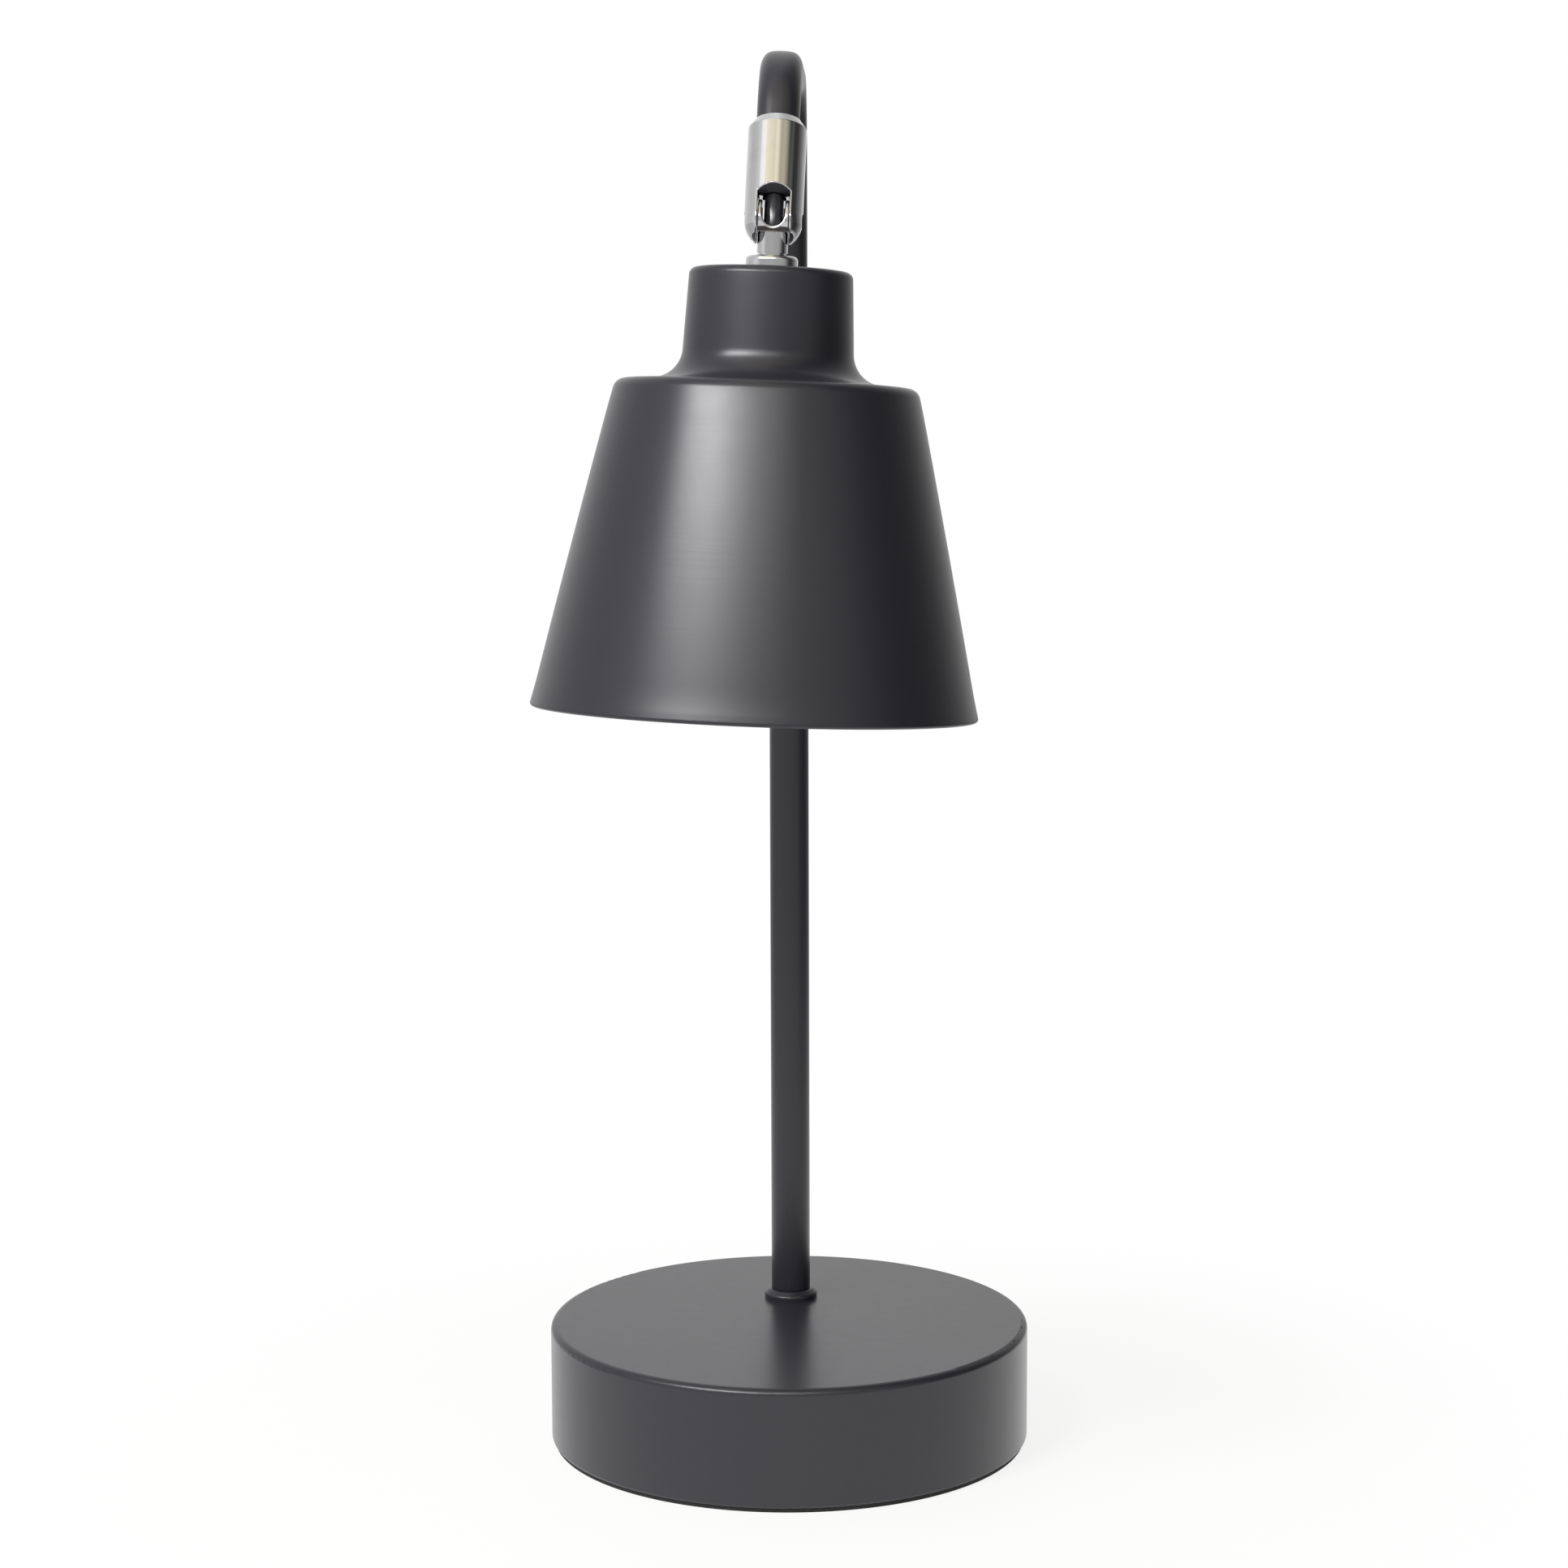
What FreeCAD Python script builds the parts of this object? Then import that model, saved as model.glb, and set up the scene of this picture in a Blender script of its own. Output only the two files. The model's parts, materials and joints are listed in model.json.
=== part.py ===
import FreeCAD, Part
import math
import os

# Desk lamp: weighted round base, bent tube, hollow chromed knuckle and spun metal shade.
# Millimetres and degrees. Z is up, the lamp faces -Y, and the origin is the centre of the
# base on the table. Heights called levels are measured from the table. Pieces of the head
# are drawn about the pivot of the knuckle, with Z along their own axis, and then placed.

# Base
BASE_DIAMETER = 152.5
BASE_HEIGHT = 37.0
BASE_WALL = 1.2
BASE_EDGE_RADIUS = 2.1
BASE_FOOT_RADIUS = 0.9
PAD_THICKNESS = 1.3
PAD_INSET = 1.0
PLATE_THICKNESS = 2.0
PLATE_CLEARANCE = 0.4
WEIGHT_THICKNESS = 8.0
WEIGHT_CLEARANCE = 0.5
WEIGHT_BEVEL = 2.5

# Pillars and screws that hold the cover plate
PILLAR_COUNT = 3
PILLAR_CIRCLE = 116.0
PILLAR_DIAMETER = 9.0
PLATE_SCREW_DIAMETER = 4.0
PLATE_SCREW_LENGTH = 12.0
PLATE_SCREW_HEAD = 7.6
PLATE_SCREW_SLOT = 1.0
PLATE_SCREW_SLOT_DEPTH = 0.8

# Cord entry
GROMMET_BORE = 6.4
GROMMET_NECK = 9.4
GROMMET_LIP_DIAMETER = 12.6
GROMMET_LIP = 1.6
BLOCK_WIDTH = 18.0
BLOCK_DEPTH = 14.0
BLOCK_HEIGHT = 13.0
BLOCK_TO_WALL = 15.0
BLOCK_POLE_SPACING = 9.0
BLOCK_TOWER_DIAMETER = 7.0
BLOCK_TOWER_HEIGHT = 3.0
BLOCK_WIRE_BORE = 3.0
TERMINAL_SCREW_DIAMETER = 3.5
TERMINAL_SCREW_LENGTH = 5.0
TERMINAL_SCREW_SLOT = 0.7

# Pole and arm
TUBE_DIAMETER = 12.5
TUBE_WALL = 1.2
POLE_SETBACK = 25.3
ARM_HEIGHT = 429.0
ARM_STRAIGHT = 44.0
BEND_RADIUS = 20.0
TUBE_PRESS = 1.1
PRESS_SPAN = 0.78
LEG_ANGLE = 20.0
LEG_SHOWN = 3.7
HEAD_LEAN = 2.4
FOOT_RING_DIAMETER = 17.0
FOOT_RING_HEIGHT = 3.0
FOOT_RING_WALL_HEIGHT = 1.7
FOOT_RING_LAND = 0.65
FOOT_RING_EDGE_RADIUS = 0.9
FOOT_RING_TOP_RADIUS = 0.5

# Nipple that clamps pole, base and weight
NIPPLE_DIAMETER = 10.0
NIPPLE_BORE = 7.0
NIPPLE_IN_TUBE = 14.0
NIPPLE_PAST_NUT = 1.0
NIPPLE_WASHER_DIAMETER = 22.0
NIPPLE_WASHER_THICKNESS = 1.5
NUT_ACROSS_FLATS = 14.0
NUT_THICKNESS = 4.0

# Knuckle
COLLAR_DIAMETER = 17.0
COLLAR_LENGTH = 30.3
COLLAR_CHAMFER = 2.6
COLLAR_EDGE_RADIUS = 0.5
COLLAR_LAND = 0.35
COLLAR_CABLE_BORE = 7.0
TUBE_SEAT = 17.0
SLOT_WIDTH = 9.3
SLOT_TOP = 7.4
SLOT_ARCH = 1.6
SLOT_FLARE = 10.0
SLOT_EDGE_RADIUS = 0.3
GRUB_DIAMETER = 3.0
GRUB_LEVEL = 21.0
GRUB_SOCKET = 1.5
GRUB_SINK = 0.3
PIVOT_SCREW_DIAMETER = 4.0
PIVOT_PIN_DIAMETER = 3.0
PIVOT_SOCKET = 2.0
PIVOT_SOCKET_DEPTH = 1.5
PIVOT_SINK = 0.7
TONGUE_RADIUS = 5.9
TONGUE_EDGE_RADIUS = 0.5
TONGUE_DROP = 3.6
CHANNEL_WIDTH = 6.5
CHANNEL_DEPTH = 1.8
CHANNEL_EDGE_RADIUS = 0.6
STEM_DIAMETER = 8.9
STEM_LENGTH = 9.5
GROOVE_WIDTH = 0.7
GROOVE_DEPTH = 0.5
FLANGE_DIAMETER = 15.1
FLANGE_THICKNESS = 4.0
FLANGE_EDGE_RADIUS = 1.3
STUB_LENGTH = 13.0

# Shade
SHADE_TILT = 3.0
SHADE_HEIGHT = 127.9
SHADE_WALL = 0.8
RIM_DIAMETER = 130.9
RIM_ROLL = 0.9
RIM_RETURN = 2.4
CONE_CROWN = 0.28
CROWN_SPAN = 0.75
SHOULDER_DIAMETER = 87.5
SHOULDER_HEIGHT = 95.2
SHOULDER_RISE = 1.2
SHOULDER_RADIUS = 3.6
NECK_DIAMETER = 50.3
NECK_TOP_DIAMETER = 47.2
NECK_FILLET = 9.0
NECK_EDGE_RADIUS = 2.1

# Lampholder
HOLDER_WASHER_DIAMETER = 18.0
HOLDER_WASHER_THICKNESS = 1.0
HOLDER_DIAMETER = 28.0
HOLDER_CAP_HEIGHT = 20.0
HOLDER_WALL = 1.6
HOLDER_BOSS_DIAMETER = 16.0
HOLDER_BOSS_HEIGHT = 4.0
HOLDER_SLOPE_HEIGHT = 5.0
HOLDER_SPIGOT = 6.0
HOLDER_LENGTH = 26.0
HOLDER_RING_HEIGHT = 6.0
HOLDER_MOUTH_DIAMETER = 21.0
HOLDER_LEDGE = 4.0
INSERT_DIAMETER = 19.0
INSERT_HEIGHT = 9.0
INSERT_GROOVE = 2.0
THREAD_DIAMETER = 14.0
THREAD_WALL = 0.6
THREAD_LENGTH = 18.0
CONTACT_DIAMETER = 6.0
CONTACT_THICKNESS = 1.5

# Bulb
BULB_DIAMETER = 45.0
BULB_LENGTH = 74.5
BULB_WALL = 1.0
BULB_CAP_WALL = 0.5
BULB_CAP_LENGTH = 19.0
BULB_NECK_SEAT = 6.0
BULB_NECK_SHOWN = 4.0
BULB_FLARE_HEIGHT = 9.0
BULB_WAIST_RADIUS = 6.5
BULB_SHOULDER_RADIUS = 14.0
BULB_BUTTON_DIAMETER = 4.4
BULB_BUTTON_THICKNESS = 1.0
BULB_INSULATOR_DIAMETER = 9.0
BULB_INSULATOR_THICKNESS = 2.5

# Cable
FLEX_DIAMETER = 5.6
FLEX_GAP = 0.4

# Clearances, each on the radius
FIT_CLEARANCE = 0.05
BOLT_CLEARANCE = 0.2
SLIDE_CLEARANCE = 0.15
BULB_CLEARANCE = 0.2

# How near to a surface a point counts as on it
ON_SURFACE = 0.02

# Levels above the table
SHELL_FOOT = PAD_THICKNESS
BASE_TOP = SHELL_FOOT + BASE_HEIGHT
BASE_CEILING = BASE_TOP - BASE_WALL
WEIGHT_FOOT = BASE_CEILING - WEIGHT_THICKNESS
PLATE_TOP = SHELL_FOOT + PLATE_THICKNESS
NIPPLE_NUT_TOP = WEIGHT_FOOT - NIPPLE_WASHER_THICKNESS
NIPPLE_FOOT = NIPPLE_NUT_TOP - NUT_THICKNESS - NIPPLE_PAST_NUT
CORD_LEVEL = PLATE_TOP + BLOCK_HEIGHT / 2

# Heights about the pivot, along the axis of the shade
NECK_TOP = -(STEM_LENGTH + GROOVE_WIDTH + FLANGE_THICKNESS)
SHADE_CEILING = NECK_TOP - SHADE_WALL
HOLDER_NUT_TOP = SHADE_CEILING - HOLDER_WASHER_THICKNESS
HOLDER_TOP = HOLDER_NUT_TOP - NUT_THICKNESS
HOLDER_JOINT = HOLDER_TOP - HOLDER_CAP_HEIGHT
HOLDER_MOUTH = HOLDER_JOINT - HOLDER_LENGTH
INSERT_FOOT = HOLDER_JOINT - HOLDER_LEDGE
INSERT_TOP = INSERT_FOOT + INSERT_HEIGHT
BULB_TOP = INSERT_FOOT - CONTACT_THICKNESS
BULB_CAP_TOP = BULB_TOP - BULB_BUTTON_THICKNESS - BULB_INSULATOR_THICKNESS
BULB_CAP_FOOT = BULB_CAP_TOP - BULB_CAP_LENGTH
BULB_WAIST = BULB_CAP_FOOT - BULB_NECK_SHOWN
BULB_SHOULDER = BULB_WAIST - BULB_FLARE_HEIGHT
BULB_FOOT = BULB_TOP - BULB_LENGTH
RIM_LEVEL = NECK_TOP - SHADE_HEIGHT

# Sizes that two pieces share
TUBE_BORE = TUBE_DIAMETER - 2 * TUBE_WALL
TUBE_HOLE = TUBE_DIAMETER + 2 * FIT_CLEARANCE
NIPPLE_HOLE = NIPPLE_DIAMETER + 2 * BOLT_CLEARANCE
STUB_DIAMETER = NIPPLE_DIAMETER
TONGUE_WIDTH = SLOT_WIDTH - 2 * SLIDE_CLEARANCE
PIN_HOLE = PIVOT_PIN_DIAMETER + 2 * FIT_CLEARANCE
BULB_CAP_DIAMETER = THREAD_DIAMETER - 2 * BULB_CLEARANCE
BULB_NECK_DIAMETER = BULB_CAP_DIAMETER - 2 * BULB_CAP_WALL - 2 * FIT_CLEARANCE

ORIGIN = FreeCAD.Vector(0, 0, 0)
X_AXIS = FreeCAD.Vector(1, 0, 0)
Y_AXIS = FreeCAD.Vector(0, 1, 0)
Z_AXIS = FreeCAD.Vector(0, 0, 1)

# The head leans to one side about the level arm, and each piece tips forward from upright.
LEAN = FreeCAD.Rotation(Y_AXIS, HEAD_LEAN)
LEG_TURN = LEAN.multiply(FreeCAD.Rotation(X_AXIS, -LEG_ANGLE))
SHADE_TURN = LEAN.multiply(FreeCAD.Rotation(X_AXIS, -SHADE_TILT))

# Corners of the tube's centreline, and the pivot at the end of the slanting leg
BEND_TANGENT = BEND_RADIUS * math.tan(math.radians(90 - LEG_ANGLE) / 2)
POLE_CORNER = FreeCAD.Vector(0, POLE_SETBACK, ARM_HEIGHT)
LEG_CORNER = POLE_CORNER - Y_AXIS * (BEND_RADIUS + ARM_STRAIGHT + BEND_TANGENT)
LEG_DOWN = LEG_TURN.multVec(-Z_AXIS)
COLLAR_TOP = LEG_CORNER + LEG_DOWN * (BEND_TANGENT + LEG_SHOWN)
PIVOT = COLLAR_TOP + LEG_DOWN * COLLAR_LENGTH

COLLAR_PLACE = FreeCAD.Placement(PIVOT, LEG_TURN)
SHADE_PLACE = FreeCAD.Placement(PIVOT, SHADE_TURN)


def corner_arc(before, corner, after, radius):
    """Start, middle and end of the arc that rounds one corner of a path."""
    to_before = (before - corner).normalize()
    to_after = (after - corner).normalize()
    half_angle = to_before.getAngle(to_after) / 2
    inward = (to_before + to_after).normalize()
    tangent = radius / math.tan(half_angle)
    middle = corner + inward * (radius / math.sin(half_angle) - radius)
    return corner + to_before * tangent, middle, corner + to_after * tangent


def rounded_wire(points, radii, closed=False):
    """Straight runs through the points, joined by tangent arcs where a radius is given."""
    count = len(points)
    stops = []
    for index, (point, radius) in enumerate(zip(points, radii)):
        if radius > 0:
            stops.append(corner_arc(points[index - 1], point, points[(index + 1) % count], radius))
        else:
            stops.append((point, None, point))
    edges = []
    for index, (start, middle, end) in enumerate(stops):
        if middle:
            edges.append(Part.Arc(start, middle, end).toShape())
        following = stops[(index + 1) % count][0]
        is_run = closed or index + 1 < count
        if is_run and not end.isEqual(following, 1e-6):
            edges.append(Part.LineSegment(end, following).toShape())
    return Part.Wire(edges)


def turned(corners):
    """Solid turned about Z from corners of (radius, height, rounding)."""
    points = [FreeCAD.Vector(radius, 0, height) for radius, height, _ in corners]
    outline = rounded_wire(points, [corner[2] for corner in corners], closed=True)
    return Part.Face(outline).revolve(ORIGIN, Z_AXIS, 360)


def sheet_corners(corners, wall):
    """Closed outline of a sheet: the outer corners, then the inner ones a wall away."""
    points = [FreeCAD.Vector(radius, 0, height) for radius, height, _ in corners]
    ways = [(end - start).normalize() for start, end in zip(points, points[1:])]
    ways_in = ways[:1] + ways
    ways_out = ways + ways[-1:]
    inner = []
    for point, corner, way_in, way_out in zip(points, corners, ways_in, ways_out):
        normal_in = FreeCAD.Vector(way_in.z, 0, -way_in.x)
        normal_out = FreeCAD.Vector(way_out.z, 0, -way_out.x)
        shift = (normal_in + normal_out) * (wall / (1 + normal_in.dot(normal_out)))
        bend = math.copysign(wall, way_in.cross(way_out).y)
        rounding = corner[2] - bend if corner[2] > 0 else 0
        inner.append((point.x + shift.x, point.z + shift.z, rounding))
    return list(corners) + inner[::-1]


def rod(diameter, low, high):
    """Upright cylinder on the Z axis between two heights."""
    return Part.makeCylinder(diameter / 2, high - low, Z_AXIS * low)


def pipe(diameter, low, high, bore):
    """Upright ring on the Z axis between two heights."""
    return rod(diameter, low, high).cut(rod(bore, low, high))


def hexagon(across_flats, low, high):
    """Upright six-sided prism on the Z axis between two heights."""
    reach = across_flats / 2 / math.cos(math.pi / 6)
    turns = [math.radians(60 * side) for side in range(7)]
    rim = [FreeCAD.Vector(reach * math.cos(turn), reach * math.sin(turn), low) for turn in turns]
    return Part.Face(Part.makePolygon(rim)).extrude(Z_AXIS * (high - low))


def block(width, depth, low, high):
    """Upright box centred on the Z axis between two heights."""
    corner = FreeCAD.Vector(-width / 2, -depth / 2, low)
    return Part.makeBox(width, depth, high - low, corner)


def along_x(shape):
    """The shape with its Z axis laid along +X."""
    return shape.rotated(ORIGIN, Y_AXIS, 90)


def along_y(shape):
    """The shape with its Z axis laid along +Y."""
    return shape.rotated(ORIGIN, X_AXIS, -90)


def at_pole(shape):
    """The shape moved onto the axis of the pole."""
    return shape.translated(Y_AXIS * POLE_SETBACK)


def ring_of(shape, count, circle):
    """Copies of the shape round a circle, the first one at the front."""
    copies = []
    for index in range(count):
        copy = shape.translated(-Y_AXIS * (circle / 2))
        copies.append(copy.rotated(ORIGIN, Z_AXIS, 360 * index / count))
    return copies


def swept(path, diameter):
    """Round bar along a path."""
    first = path.OrderedEdges[0]
    start = first.valueAt(first.FirstParameter)
    heading = first.tangentAt(first.FirstParameter)
    circle = Part.Wire(Part.makeCircle(diameter / 2, start, heading))
    return path.makePipe(Part.Face(circle))


def base_shell():
    """Drawn cup, open below, with holes for the nipple and the grommet."""
    outside = BASE_DIAMETER / 2
    inside = outside - BASE_WALL
    cup = turned([
        (0, BASE_TOP, 0),
        (outside, BASE_TOP, BASE_EDGE_RADIUS),
        (outside, SHELL_FOOT, BASE_FOOT_RADIUS),
        (inside, SHELL_FOOT, 0),
        (inside, BASE_CEILING, BASE_EDGE_RADIUS - BASE_WALL),
        (0, BASE_CEILING, 0),
    ])
    nipple_hole = at_pole(rod(NIPPLE_HOLE, BASE_CEILING, BASE_TOP))
    cord_hole = along_y(rod(GROMMET_NECK, 0, BASE_DIAMETER)).translated(Z_AXIS * CORD_LEVEL)
    return cup.cut(nipple_hole).cut(cord_hole)


def base_weight():
    """Cast disc under the top of the shell."""
    edge = BASE_DIAMETER / 2 - BASE_WALL - WEIGHT_CLEARANCE
    disc = turned([
        (0, BASE_CEILING, 0),
        (edge - WEIGHT_BEVEL, BASE_CEILING, 0),
        (edge, BASE_CEILING - WEIGHT_BEVEL, 0),
        (edge, WEIGHT_FOOT, 0),
        (0, WEIGHT_FOOT, 0),
    ])
    return disc.cut(at_pole(rod(NIPPLE_HOLE, WEIGHT_FOOT, BASE_CEILING)))


def screw_head_cone(clearance):
    """Countersunk head in the cover plate, or its seat when a clearance is given."""
    top = PLATE_SCREW_DIAMETER / 2 + clearance
    bottom = PLATE_SCREW_HEAD / 2 + clearance
    return Part.makeCone(bottom, top, PLATE_THICKNESS, Z_AXIS * SHELL_FOOT)


def base_plate():
    """Flat cover inside the foot of the shell, countersunk for its screws."""
    diameter = BASE_DIAMETER - 2 * BASE_WALL - 2 * PLATE_CLEARANCE
    plate = rod(diameter, SHELL_FOOT, PLATE_TOP)
    return plate.cut(ring_of(screw_head_cone(FIT_CLEARANCE), PILLAR_COUNT, PILLAR_CIRCLE))


def plate_pillars():
    """Tapped pillars between the weight and the cover plate."""
    bore = rod(PLATE_SCREW_DIAMETER + 2 * FIT_CLEARANCE, PLATE_TOP, SHELL_FOOT + PLATE_SCREW_LENGTH)
    pillar = rod(PILLAR_DIAMETER, PLATE_TOP, WEIGHT_FOOT).cut(bore)
    return Part.makeCompound(ring_of(pillar, PILLAR_COUNT, PILLAR_CIRCLE))


def base_plate_screws():
    """Countersunk slotted screws, flush with the foot of the cover plate."""
    shank = rod(PLATE_SCREW_DIAMETER, PLATE_TOP, SHELL_FOOT + PLATE_SCREW_LENGTH)
    slot_top = SHELL_FOOT + PLATE_SCREW_SLOT_DEPTH
    slot = block(PLATE_SCREW_HEAD, PLATE_SCREW_SLOT, SHELL_FOOT, slot_top)
    screw = screw_head_cone(0).fuse(shank).cut(slot)
    return Part.makeCompound(ring_of(screw, PILLAR_COUNT, PILLAR_CIRCLE))


def base_pad():
    """Soft pad glued under the base."""
    return rod(BASE_DIAMETER - 2 * PAD_INSET, 0, PAD_THICKNESS)


def cord_grommet(shell):
    """Bush in the back wall, grooved to the wall it sits in."""
    wall_outside = BASE_DIAMETER / 2
    inner_end = wall_outside - BASE_WALL - GROMMET_LIP
    outer_end = wall_outside + GROMMET_LIP
    bush = pipe(GROMMET_LIP_DIAMETER, inner_end, outer_end, GROMMET_BORE)
    return along_y(bush).translated(Z_AXIS * CORD_LEVEL).cut(shell)


def block_centre():
    """Distance of the terminal block's middle behind the centre of the base."""
    return BASE_DIAMETER / 2 - BASE_WALL - BLOCK_TO_WALL - BLOCK_DEPTH / 2


def block_poles():
    """Places of the two poles of the terminal block."""
    half = BLOCK_POLE_SPACING / 2
    return [FreeCAD.Vector(side * half, block_centre(), 0) for side in (-1, 1)]


def terminal_block():
    """Two-pole connector that stands on the cover plate, screws on top, wires at the back."""
    body_top = PLATE_TOP + BLOCK_HEIGHT
    tower_top = body_top + BLOCK_TOWER_HEIGHT
    body = block(BLOCK_WIDTH, BLOCK_DEPTH, PLATE_TOP, body_top).translated(Y_AXIS * block_centre())
    hole_foot = tower_top - TERMINAL_SCREW_LENGTH
    screw_hole = rod(TERMINAL_SCREW_DIAMETER + 2 * FIT_CLEARANCE, hole_foot, tower_top)
    wire_hole = along_y(rod(BLOCK_WIRE_BORE, 0, BLOCK_DEPTH / 2)).translated(Z_AXIS * CORD_LEVEL)
    for place in block_poles():
        body = body.fuse(rod(BLOCK_TOWER_DIAMETER, body_top, tower_top).translated(place))
    for place in block_poles():
        body = body.cut([screw_hole.translated(place), wire_hole.translated(place)])
    return body.removeSplitter()


def terminal_screws():
    """Slotted screws in the towers of the terminal block."""
    top = PLATE_TOP + BLOCK_HEIGHT + BLOCK_TOWER_HEIGHT
    slot = block(TERMINAL_SCREW_DIAMETER, TERMINAL_SCREW_SLOT, top - TERMINAL_SCREW_SLOT, top)
    screw = rod(TERMINAL_SCREW_DIAMETER, top - TERMINAL_SCREW_LENGTH, top).cut(slot)
    return Part.makeCompound([screw.translated(place) for place in block_poles()])


def press_arc(diameter, arm_end, bend_angle, side):
    """Foot of the press over one bend: it starts flat and leaves the bar before the bend ends."""
    flat = ARM_HEIGHT + diameter / 2 - TUBE_PRESS
    leaves = math.radians(bend_angle * PRESS_SPAN)
    radius = BEND_RADIUS + diameter / 2 - TUBE_PRESS + TUBE_PRESS / (1 - math.cos(leaves))
    turns = [math.radians(bend_angle * share) for share in (0, 0.5, 1)]
    return [
        FreeCAD.Vector(0, arm_end + side * radius * math.sin(turn), flat - radius * (1 - math.cos(turn)))
        for turn in turns
    ]


def pressed(bar, diameter):
    """The bar with the outside of both bends and the top of the arm pressed flat."""
    pole_end = POLE_SETBACK - BEND_RADIUS
    over_pole = press_arc(diameter, pole_end, 90, 1)
    over_leg = press_arc(diameter, pole_end - ARM_STRAIGHT, 90 - LEG_ANGLE, -1)
    behind = over_pole[2] + Y_AXIS * BEND_RADIUS
    ahead = over_leg[2] - Y_AXIS * BEND_RADIUS
    roof = ARM_HEIGHT + BEND_RADIUS
    roof_ahead = FreeCAD.Vector(0, ahead.y, roof)
    roof_behind = FreeCAD.Vector(0, behind.y, roof)
    corners = [over_leg[2], ahead, roof_ahead, roof_behind, behind, over_pole[2]]
    outline = Part.Wire([
        Part.Arc(*over_pole[::-1]).toShape(),
        Part.LineSegment(over_pole[0], over_leg[0]).toShape(),
        Part.Arc(*over_leg).toShape(),
        *Part.makePolygon(corners).Edges,
    ])
    press = Part.Face(outline).extrude(X_AXIS * (2 * diameter)).translated(-X_AXIS * diameter)
    return bar.cut(press.rotated(POLE_CORNER, Y_AXIS, HEAD_LEAN))


def pole():
    """Bent tube from the base to its seat in the collar, flattened where it was bent."""
    foot = FreeCAD.Vector(0, POLE_SETBACK, BASE_TOP)
    tip = COLLAR_TOP + LEG_DOWN * TUBE_SEAT
    path = rounded_wire([foot, POLE_CORNER, LEG_CORNER, tip], [0, BEND_RADIUS, BEND_RADIUS, 0])
    outside = pressed(swept(path, TUBE_DIAMETER), TUBE_DIAMETER)
    return outside.cut(pressed(swept(path, TUBE_BORE), TUBE_BORE))


def pole_foot_ring():
    """Ring round the foot of the pole: a low wall with a cone above."""
    hole = TUBE_HOLE / 2
    edge = FOOT_RING_DIAMETER / 2
    top = BASE_TOP + FOOT_RING_HEIGHT
    return at_pole(turned([
        (hole, BASE_TOP, 0),
        (edge, BASE_TOP, 0),
        (edge, BASE_TOP + FOOT_RING_WALL_HEIGHT, FOOT_RING_EDGE_RADIUS),
        (hole + FOOT_RING_LAND, top, FOOT_RING_TOP_RADIUS),
        (hole, top, 0),
    ]))


def pole_nipple():
    """Hollow threaded nipple, fixed in the foot of the pole."""
    diameter = TUBE_BORE - 2 * FIT_CLEARANCE
    return at_pole(
        pipe(NIPPLE_DIAMETER, NIPPLE_FOOT, BASE_TOP, NIPPLE_BORE).fuse(
            pipe(diameter, BASE_TOP, BASE_TOP + NIPPLE_IN_TUBE, NIPPLE_BORE)
        ).removeSplitter()
    )


def nipple_washer():
    """Flat washer under the weight."""
    return at_pole(pipe(NIPPLE_WASHER_DIAMETER, NIPPLE_NUT_TOP, WEIGHT_FOOT, NIPPLE_HOLE))


def thin_nut(top):
    """Six-sided nut for the thread of the nipple and the stub."""
    bottom = top - NUT_THICKNESS
    bore = rod(NIPPLE_DIAMETER + 2 * FIT_CLEARANCE, bottom, top)
    return hexagon(NUT_ACROSS_FLATS, bottom, top).cut(bore)


def nipple_nut():
    """Nut that clamps the weight and the shell to the pole."""
    return at_pole(thin_nut(NIPPLE_NUT_TOP))


def flex_path():
    """Centreline of the cable from the terminal block to the pivot, inside base, pole and arm."""
    block_face = FreeCAD.Vector(0, block_centre() - BLOCK_DEPTH / 2, CORD_LEVEL)
    under_pole = FreeCAD.Vector(0, POLE_SETBACK, CORD_LEVEL)
    room_down = NIPPLE_FOOT - CORD_LEVEL
    room_back = block_face.y - POLE_SETBACK
    base_bend = min(room_down, room_back)
    points = [block_face, under_pole, POLE_CORNER, LEG_CORNER, PIVOT]
    radii = [0, base_bend, BEND_RADIUS, BEND_RADIUS, 0]
    return rounded_wire(points, radii), radii[1:-1]


def supply_flex():
    """Cable up to the knuckle, where its end is a ball about the pivot."""
    path, radii = flex_path()
    cable = swept(path, FLEX_DIAMETER)
    section = math.pi * FLEX_DIAMETER ** 2 / 4
    print("cable bend radii", [round(radius, 1) for radius in radii], "length", round(path.Length, 1))
    print("cable volume over section times length", round(cable.Volume / (section * path.Length), 5))
    return cable.fuse(Part.makeSphere(FLEX_DIAMETER / 2, PIVOT)).removeSplitter()


def shade_flex():
    """Cable from under the pivot to the insert of the lampholder."""
    return rod(FLEX_DIAMETER, INSERT_TOP, -FLEX_DIAMETER / 2 - FLEX_GAP)


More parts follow.
